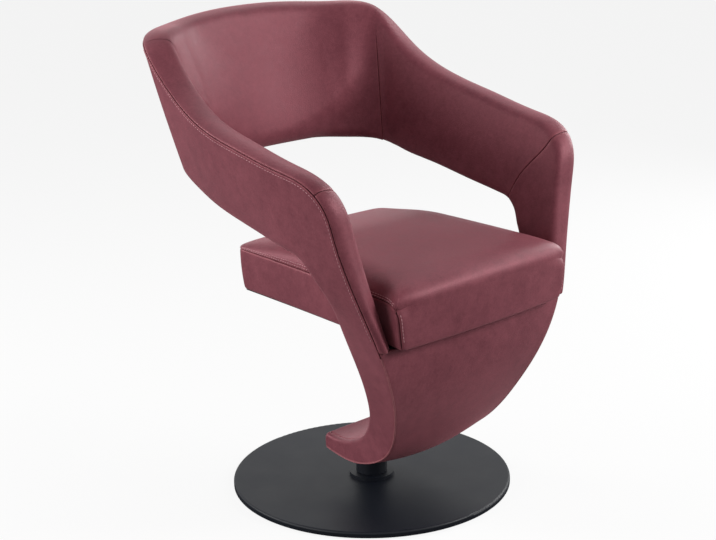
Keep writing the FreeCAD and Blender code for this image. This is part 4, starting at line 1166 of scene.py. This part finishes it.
@dataclass
class FootCovers:
    """Leather of the curved foot: front and sole in one, the rear, and the rounded toe."""

    band: Band
    palette: Palette
    piping_radius: float = 1.5 * MM
    piping_around: int = 10
    piping_depths: tuple[float, float] = (1.8 * MM, 0.8 * MM)
    piping_rise: float = 120 * MM
    toe_angles: tuple[float, ...] = (0, 8, 20, 34, 48, 62, 74, 83, 89.5)
    # Seam distance of the whole piping, which puts it in the leather's lighter band beside seams: wear and
    # painted highlight
    piping_seam: float = 2.2 * MM
    toe_seam: float = 20 * MM

    def faces(self) -> tuple[Panel, Panel]:
        """Panels between the side panels.

        Returns:
            The front panel, which runs on as the sole, and the rear one.
        """
        ends = (self.band.places["ledge"], self.band.end)
        places = self.band.between(*ends)
        sink = self.band.seam_sink(places)
        rows, columns = Ladder.sewn(34), Ladder(EdgeKind.SEWN, EdgeKind.OPEN, 80)
        front, rear = self.band.foot_faces(places)
        return (lay_panel(front, places, rows, columns, ends, (sink * MIRROR, sink)),
                lay_panel(rear, places, rows, columns, ends))

    def toe(self) -> bpy.types.Object:
        """The rounded end of the foot.

        Returns:
            The piece.
        """
        at = np.array([self.band.end])
        side = self.band.sections(at)[0][0][::2]
        front, rear = (line[0] for line in self.band.foot_faces(at))
        loop = np.vstack([side[:-1], rear[:-1], (side * MIRROR)[::-1][:-1], front[:-1]])
        _, inward, along, _ = self.band.axes(at)
        way = np.cross(along[0], inward[0]) * np.array([0, 1, 1])
        way = unit(way * np.sign(way[1]))
        half_width = np.abs(front[:, 0]).max()
        half_depth = np.linalg.norm(front[self.band.front_steps // 2] - rear[self.band.rear_steps // 2]) / 2
        reach = np.clip(loop[:, 0], -half_width + half_depth, half_width - half_depth)
        rear = rear[::-1]
        middle = np.stack([reach, *((np.interp(reach, front[:, 0], front[:, axis])
                                     + np.interp(reach, rear[:, 0], rear[:, axis])) / 2
                                    for axis in (1, 2))], 1)
        rings = np.stack([middle + (loop - middle) * math.cos(angle) + way * self.band.nose * math.sin(angle)
                          for angle in np.radians(self.toe_angles)])
        faces = ring_faces(len(loop), len(rings))[:, [0, 3, 2, 1]]
        spots = rings.reshape(-1, 3)
        return smooth_surface(mesh_object("toe_panel", spots, faces, np.full(len(spots), self.toe_seam)))

    def piping(self, hand: Side) -> bpy.types.Object:
        """The thin welt in the seam between side and front.

        Args:
            hand: The side that it is on.

        Returns:
            The piece.
        """
        places = self.band.between(self.band.places["ledge"] + 10 * MM, self.band.end)
        start, inward, along, _ = self.band.axes(places)
        fade = np.clip((places - places[0]) / self.piping_rise, 0, 1)[:, None]
        deep, shallow = self.piping_depths
        centre = start + unit(inward + along) * (deep * (1 - fade) + shallow * fade)
        ahead = unit(np.gradient(centre, axis=0))
        beside = unit(np.cross(ahead, inward))
        above = np.cross(beside, ahead)
        turns = (np.arange(self.piping_around) * 2 * math.pi / self.piping_around)[:, None]
        ring = above[:, None] * np.cos(turns) + beside[:, None] * np.sin(turns)
        spots = (centre[:, None] + ring * self.piping_radius).reshape(-1, 3)
        return mesh_object(f"foot_piping_{hand.value}", spots * (MIRROR if hand.mirrored else 1),
                           ring_faces(self.piping_around, len(places)),
                           np.full(len(spots), self.piping_seam), hand.mirrored)

    def build(self) -> None:
        """Makes the foot's pieces."""
        front, rear = self.faces()
        for item, nodes in ((front.build("foot_front"), ("foot_front_cover", "foot_foam")),
                            (rear.build("foot_rear"), ("foot_rear_cover",)),
                            (self.toe(), ("toe_cover",))):
            self.palette.dress(item, "leather", replaces=nodes, fill=0.8)
        for hand in Side:
            # The piping's lighter leather is partly wear and partly a painted highlight
            self.palette.dress(self.piping(hand), "rubbed_and_highlit_leather")


# The seat


@dataclass
class SeatCovers:
    """Leather of the seat cushion: top and front in one, and borders at the sides and rear."""

    palette: Palette
    bottom: float = 361 * MM
    tilt: float = 1.3
    side_height: float = 75 * MM
    foot_height: float = 4.5 * MM
    crown: float = 35 * MM
    reach: float = 60 * MM
    fullness: float = 2.5
    rear_share: float = 0.55
    crown_run: float = 170 * MM
    corner_fall: float = 0.50
    dome: float = 1.5 * MM
    front_bow: float = 6 * MM
    end_radius: float = 25 * MM
    end_reach: float = 22 * MM
    front: float = -278 * MM
    flare: float = 8 * MM
    flare_run: float = 45 * MM
    rear: float = 146 * MM
    front_width: float = 396 * MM
    rear_width: float = 350 * MM
    corner_radius: float = 12 * MM
    draw: float = 3 * MM
    foot_draw: float = 6 * MM
    front_draw_share: float = 0.4
    seam_fade: float = 4 * MM
    stitch_rows: tuple[float, float] = (4.5 * MM, 8.5 * MM)
    across: Ladder = Ladder.sewn(40)
    deep: Ladder = Ladder.sewn(44)

    def corners(self, inset: float, rise: float) -> Grid:
        """Sharp plan corners of a ring.

        Args:
            inset: How far the ring is inside the plan outline.
            rise: How far it has moved in over the crown.

        Returns:
            The corners, anticlockwise from the front left.
        """
        shrink = inset + rise
        front, rear = self.front + inset * self.front_draw_share + rise, self.rear - shrink
        wide, narrow = self.front_width / 2 - shrink, self.rear_width / 2 - shrink
        return np.array([(-wide, front), (wide, front), (narrow, rear), (-narrow, rear)])

    def ring(self, inset: float, rise: float, height: float) -> Grid:
        """One level outline of the cushion, side by side from the front left corner.

        Args:
            inset: How far the ring is inside the plan outline.
            rise: How far it has moved in over the crown.
            height: Its height.

        Returns:
            The ring's points.
        """
        radius = self.corner_radius + 0.8 * rise - inset / 2
        corners = self.corners(inset, rise)
        before, after = (unit(np.roll(corners, turn, 0) - corners) for turn in (1, -1))
        arcs = rounded(corners, before, after, np.full(4, radius), 9)
        centre = corners.mean(0)
        points = []
        for index, arc in enumerate(arcs):
            ahead = arcs[(index + 1) % 4]
            inward = unit(centre - (arc[-1] + ahead[0]) / 2) * (self.draw if index else -self.front_bow)
            edge = joined(arc[None, 4:], bulged(arc[-1], ahead[0], inward, 30)[None], ahead[None, :5])
            runs = run_lengths(edge)[0]
            ladder = self.deep if index % 2 else self.across
            points.append(along_line(edge[0], runs, ladder.at(runs[-1:])[0])[:-1])
        flat = np.vstack(points)
        return np.column_stack([flat, np.full(len(flat), height)])

    def profile(self) -> Grid:
        """The rings from the underside to the crown.

        Returns:
            Inset, rise, height and distance past the crease of each ring.
        """
        foot = ((0.016, 0.0006), (0.009, 0.0), (0.0035, 0.0003), (0.0011, 0.0015))
        rings = [(self.foot_draw + inset, 0, height, -1) for inset, height in foot]
        run = self.side_height - self.foot_height
        for step in Ladder(EdgeKind.OPEN, EdgeKind.SEWN, 8).at(np.array([run]))[0]:
            height = self.foot_height + step
            rings.append((self.foot_draw * (1 - height / self.side_height) ** 2, 0, height, step - run))
        turn = np.linspace(0, math.pi / 2, 200)
        rise = self.reach * (1 - np.cos(turn) ** (2 / self.fullness))
        climb = self.crown * np.sin(turn) ** (2 / self.fullness)
        runs = run_lengths(np.stack([rise, climb], 1)[None])[0]
        for step in Ladder(EdgeKind.SEWN, EdgeKind.OPEN, 12).at(runs[-1:])[0][1:]:
            above = np.interp(step, runs, climb)
            rings.append((0, np.interp(step, runs, rise), self.side_height + above, step))
        return np.array(rings)

    def starts(self) -> Grid:
        """Number of the first point of each side of a ring, and one past the last point."""
        return np.cumsum([0, self.across.gaps, self.deep.gaps, self.across.gaps, self.deep.gaps])

    def inner_points(self, edge: Grid) -> Grid:
        """Points inside the last ring, blended from its four sides.

        Args:
            edge: Points of the last ring.

        Returns:
            A grid of points, with the last ring's own along its edges.
        """
        starts, closed = self.starts(), np.vstack([edge, edge[:1]])
        south, east, north, west = (closed[first:last + 1] for first, last in zip(starts[:-1], starts[1:]))
        north, west = north[::-1], west[::-1]
        across = np.linspace(0, 1, len(south))[:, None, None]
        up = np.linspace(0, 1, len(east))[None, :, None]
        flat = (south[:, None] * (1 - up) + north[:, None] * up + west[None] * (1 - across)
                + east[None] * across)
        return flat - (south[0] * (1 - across) * (1 - up) + south[-1] * across * (1 - up)
                       + north[0] * (1 - across) * up + north[-1] * across * up)

    def raised(self, points: Grid) -> Grid:
        """Makes the crown lower at the rear and in the corners, and domes its middle.

        Args:
            points: Points of the level cushion.

        Returns:
            The changed points.
        """
        half = (self.rear - self.front) / 2
        across = np.clip(np.abs(points[..., 0]) / (self.front_width / 2), 0, 1)
        along = np.clip(np.abs(points[..., 1] - (self.rear + self.front) / 2) / half, 0, 1)
        ahead = eased((self.rear - points[..., 1]) / self.crown_run)
        fall = self.corner_fall * (1 - 0.65 * ahead) * (across * along) ** 2
        share = (self.rear_share + (1 - self.rear_share) * ahead) * (1 - fall)
        above = np.maximum(points[..., 2] - self.side_height, 0)
        full = np.clip(above / self.crown, 0, 1)
        result = points.copy()
        result[..., 2] += above * (share - 1) + self.dome * full * (1 - across ** 2) * (1 - along ** 2)
        return result

    def ends_rounded(self, points: Grid) -> Grid:
        """Rounds the upper front end of both side seams.

        Args:
            points: Points of the level cushion.

        Returns:
            The changed points.
        """
        ahead = np.maximum(self.front + self.end_radius - points[..., 1], 0)
        above = np.maximum(points[..., 2] - self.side_height + self.end_radius, 0)
        scale = np.maximum(ahead, above) / np.maximum(np.hypot(ahead, above), 1e-9)
        from_side = np.maximum(self.front_width / 2 - self.draw - np.abs(points[..., 0]), 0)
        weight = np.exp(-(from_side / self.end_reach) ** 2) * (1 - scale) * ((ahead > 0) & (above > 0))
        result = points.copy()
        result[..., 1] += ahead * weight
        result[..., 2] -= above * weight
        return result

    def flared(self, points: Grid) -> Grid:
        """Widens the cushion in front of the posts, and least at its foot.

        Args:
            points: Points of the level cushion.

        Returns:
            The changed points.
        """
        ahead = eased((self.front + self.flare_run - points[..., 1]) / self.flare_run)
        across = points[..., 0] / (self.front_width / 2)
        up = np.clip(points[..., 2] / self.side_height, 0, 1)
        result = points.copy()
        result[..., 0] += self.flare * (0.2 + 0.8 * up) * across * ahead
        return result

    def tilted(self, points: Grid) -> Grid:
        """Raises points to the seat's height and tilts them about its lower front edge.

        Args:
            points: Points of the level cushion.

        Returns:
            The points in place.
        """
        angle = math.radians(self.tilt)
        away, up = points[..., 1] - self.front, points[..., 2]
        return np.stack([points[..., 0], self.front + away * math.cos(angle) - up * math.sin(angle),
                         self.bottom + away * math.sin(angle) + up * math.cos(angle)], -1)

    def build(self) -> None:
        """Makes the four panels and the stitching over the front corners."""
        profile = self.profile()
        past = profile[:, 3]
        rings = np.stack([self.ring(*row[:3]) for row in profile])
        rings = self.flared(self.ends_rounded(self.raised(rings)))
        starts, crease = self.starts(), int(np.argmin(np.abs(past)))
        runs = run_lengths(np.vstack([rings[crease], rings[crease, :1]])[None])[0]
        from_corner = np.abs(runs[:-1, None] - runs[starts]).min(1)
        on_front = np.arange(len(from_corner)) < starts[1]
        sewn = np.where(on_front, np.exp(-(from_corner / self.seam_fade) ** 2), 1.0)
        in_border = np.where(past <= 0, 1.0, np.exp(-(past / self.seam_fade) ** 2))
        in_border *= rings[:, 0, 2] > 2 * MM
        offsets, depths = EdgeKind.SEWN.offsets, EdgeKind.SEWN.depths
        crease_sink = np.interp(np.abs(past), offsets, depths, right=0) * (past > -1)
        corner_sink = np.interp(from_corner, offsets, depths, right=0)
        sink = np.maximum(crease_sink[:, None] * sewn, corner_sink * in_border[:, None])
        seam = np.minimum(np.abs(past)[:, None] + (1 - sewn), from_corner + (1 - in_border)[:, None])
        around = np.roll(rings, -1, 1) - np.roll(rings, 1, 1)
        normals = unit(np.cross(around, np.gradient(rings, axis=0)))
        rings = rings + normals * (puff(seam, 0.8 * MM, 6 * MM) - sink)[..., None]
        inner = self.inner_points(rings[-1])
        inner[..., 2] = self.side_height + self.crown
        self.make_pieces(rings, self.raised(inner), seam, crease)
        self.make_stitching(rings, normals, past)

    def make_pieces(self, rings: Grid, inner: Grid, seam: Grid, crease: int) -> None:
        """Cuts the cushion's surface into its panels.

        Args:
            rings: Points of the rings.
            inner: Grid of points inside the last ring.
            seam: Distance of each ring point from the nearest seam.
            crease: Number of the ring in the seam between borders and top.
        """
        levels, count = rings.shape[:2]
        wide, deep = self.across.gaps, self.deep.gaps
        starts = self.starts()
        last = (levels - 1) * count
        index = np.empty((wide + 1, deep + 1), int)
        inside = inner[1:-1, 1:-1].reshape(-1, 3)
        index[1:-1, 1:-1] = levels * count + np.arange(len(inside)).reshape(wide - 1, deep - 1)
        index[:, 0] = last + np.arange(wide + 1)
        index[-1] = last + wide + np.arange(deep + 1)
        index[:, -1] = (last + starts[2] + np.arange(wide + 1))[::-1]
        index[0] = (last + (starts[3] + np.arange(deep + 1)) % count)[::-1]
        middle = np.stack([index[:-1, :-1], index[1:, :-1], index[1:, 1:], index[:-1, 1:]], -1)
        points = self.tilted(np.vstack([rings.reshape(-1, 3), inside]))
        seams = np.concatenate([seam.ravel(), np.full(len(inside), FAR)])
        quads = ring_faces(count, levels).reshape(levels - 1, count, 4)
        front, right, rear, left = (quads[:crease, first:stop].reshape(-1, 4)
                                    for first, stop in zip(starts[:-1], starts[1:]))
        top = np.vstack([front, quads[crease:].reshape(-1, 4), middle.reshape(-1, 4)])
        for name, faces, nodes in (("seat_top", top, ("seat_top_cover", "seat_foam")),
                                   ("seat_side_right", right, ("seat_border_right",)),
                                   ("seat_side_rear", rear, ("seat_border_rear",)),
                                   ("seat_side_left", left, ("seat_border_left",))):
            item = smooth_surface(mesh_object(name, points, faces, seams))
            self.palette.dress(item, "leather", replaces=nodes, fill=0.75)

    def make_stitching(self, rings: Grid, normals: Grid, past: Grid) -> None:
        """Twin stitch lines above the side seams, and one down each front corner.

        Args:
            rings: Points of the rings.
            normals: Normals there.
            past: Distance of each ring past the crease.
        """
        starts, tracks = self.starts(), []
        above = np.flatnonzero(past >= 0)
        for distance in self.stitch_rows:
            place = np.interp(distance, past[above], above)
            row, share = int(place), place % 1
            line = rings[row] * (1 - share) + rings[row + 1] * share
            turned = unit(normals[row] * (1 - share) + normals[row + 1] * share)
            for first, last in ((starts[1], starts[2]), (starts[3], starts[4] - 1)):
                tracks.append((self.tilted(line[first:last + 1]), turned[first:last + 1]))
        rows = (past > 6 * MM - self.side_height) & (past <= 0)
        for column in (starts[0] + 4, starts[1] - 4):
            tracks.append((self.tilted(rings[rows, column]), normals[rows, column]))
        self.palette.dress(Stitching().build("seat_stitching", tracks), "thread")


# Metal, board and the studio


@dataclass
class CarriedNodes:
    """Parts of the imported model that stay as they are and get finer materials."""

    palette: Palette
    painted_black: tuple[str, ...] = ("spindle", "base_disc", "bearing_housing")

    def build(self) -> None:
        """Gives each carried node the finish of its slot, or black paint."""
        slots = {part["node"]: part["material_slot"] for part in frame["record"]["subparts"]}
        for name, item in frame["nodes"].items():
            finish = "black_powder_coat" if name in self.painted_black else slots[name]
            material = self.palette.material(finish)
            if item.material_slots:
                for place in item.material_slots:
                    place.material = material
            else:
                item.data.materials.append(material)
            item.data.polygons.foreach_set("use_smooth", np.ones(len(item.data.polygons), bool))
        log.info("%d carried nodes dressed", len(frame["nodes"]))


@dataclass(frozen=True)
class Lamp:
    """A soft square lamp that faces the chair, in metres and watts."""

    name: str
    position: Place
    size: float
    power: float
    aim: Place = (0, 0, 0.45)

    def build(self) -> None:
        """Adds the lamp."""
        data = bpy.data.lights.new(self.name, "AREA")
        data.size, data.energy = self.size, self.power
        item = bpy.data.objects.new(self.name, data)
        item.location = self.position
        way = Vector(self.aim) - Vector(self.position)
        item.rotation_euler = way.to_track_quat("-Z", "Y").to_euler()
        bpy.context.scene.collection.objects.link(item)


@dataclass
class Studio:
    """Pale floor, white surroundings, soft lamps, and the camera as for the photograph."""

    yaw: float = -43.38
    pitch: float = 16.77
    roll: float = -1.05
    position: Place = (-1.936, -2.022, 1.240)
    lens: float = 84.0
    sensor: float = 36.0
    ambient: float = 0.15
    floor_size: float = 25.0
    floor_glow: float = 0.88
    lamps: tuple[Lamp, ...] = (Lamp("front_lamp", (1.5, -2.1, 1.6), 1.1, 56.0),
                               Lamp("left_lamp", (-2.4, 0.2, 0.9), 1.1, 20.0),
                               Lamp("rear_lamp", (-1.7, 1.7, 1.4), 1.0, 34.0),
                               Lamp("right_lamp", (2.3, -0.1, 1.15), 1.3, 24.0))

    def camera(self) -> None:
        """Sets the camera."""
        yaw, pitch, roll = (math.radians(angle) for angle in (self.yaw, self.pitch, self.roll))
        right = Vector((math.cos(yaw), math.sin(yaw), 0))
        back = Vector((math.sin(yaw) * math.cos(pitch), -math.cos(yaw) * math.cos(pitch), math.sin(pitch)))
        up = back.cross(right)
        across = right * math.cos(roll) + up * math.sin(roll)
        upward = up * math.cos(roll) - right * math.sin(roll)
        data = bpy.data.cameras.new("photo_camera")
        data.lens, data.sensor_width = self.lens, self.sensor
        item = bpy.data.objects.new("photo_camera", data)
        item.matrix_world = Matrix.Translation(self.position) @ Matrix(
            (across, upward, back)).transposed().to_4x4()
        bpy.context.scene.collection.objects.link(item)
        bpy.context.scene.camera = item

    def world(self) -> None:
        """Makes the surroundings white, and dimmer where they only light the chair."""
        world = bpy.data.worlds.new("studio")
        bpy.context.scene.world = world
        shader = Shader(world)
        seen = shader.ray("Camera").math("MAXIMUM", shader.ray("Glossy"))
        seen = seen.math("MAXIMUM", shader.ray("Transmission"))
        strength = seen * (1 - self.ambient) + self.ambient
        light = shader.node("ShaderNodeBackground", {}, {"Color": (1, 1, 1, 1), "Strength": strength})
        shader.ends_in(light)

    def floor(self) -> None:
        """Lays a pale floor that the camera sees as white, with the chair's soft shadow."""
        size = self.floor_size
        mesh = bpy.data.meshes.new("floor")
        mesh.from_pydata([(-size, -size, 0), (size, -size, 0), (size, size, 0), (-size, size, 0)], [],
                         [(0, 1, 2, 3)])
        item = bpy.data.objects.new("floor", mesh)
        bpy.context.scene.collection.objects.link(item)
        shader = Shader.of_material("pale_floor")
        seen = shader.ray("Camera")
        pale = shader.blend(seen, (0.25, 0.25, 0.25), (0.92, 0.92, 0.92))
        matt = shader.node("ShaderNodeBsdfDiffuse", {}, {"Color": pale})
        glow = shader.node("ShaderNodeEmission", {}, {"Color": (1, 1, 1, 1), "Strength": 1.0})
        mixed = shader.node("ShaderNodeMixShader", {}, {0: seen * self.floor_glow, 1: matt, 2: glow})
        shader.ends_in(mixed)
        mesh.materials.append(shader.owner)

    def build(self) -> None:
        """Sets up the view, the light and the floor."""
        self.camera()
        self.world()
        for lamp in self.lamps:
            lamp.build()
        self.floor()
        bpy.context.scene.view_settings.view_transform = "Standard"
        log.info("studio ready")


def main() -> None:
    """Builds the chair's looks, piece by piece."""
    logging.basicConfig(level=logging.INFO, format="%(name)s %(message)s")
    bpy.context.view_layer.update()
    palette, band = Palette(), Band()
    CarriedNodes(palette).build()
    BandCovers(band, palette).build()
    BackCovers(band, palette).build()
    FootCovers(band, palette).build()
    SeatCovers(palette).build()
    Studio().build()


if __name__ == "__main__":
    main()
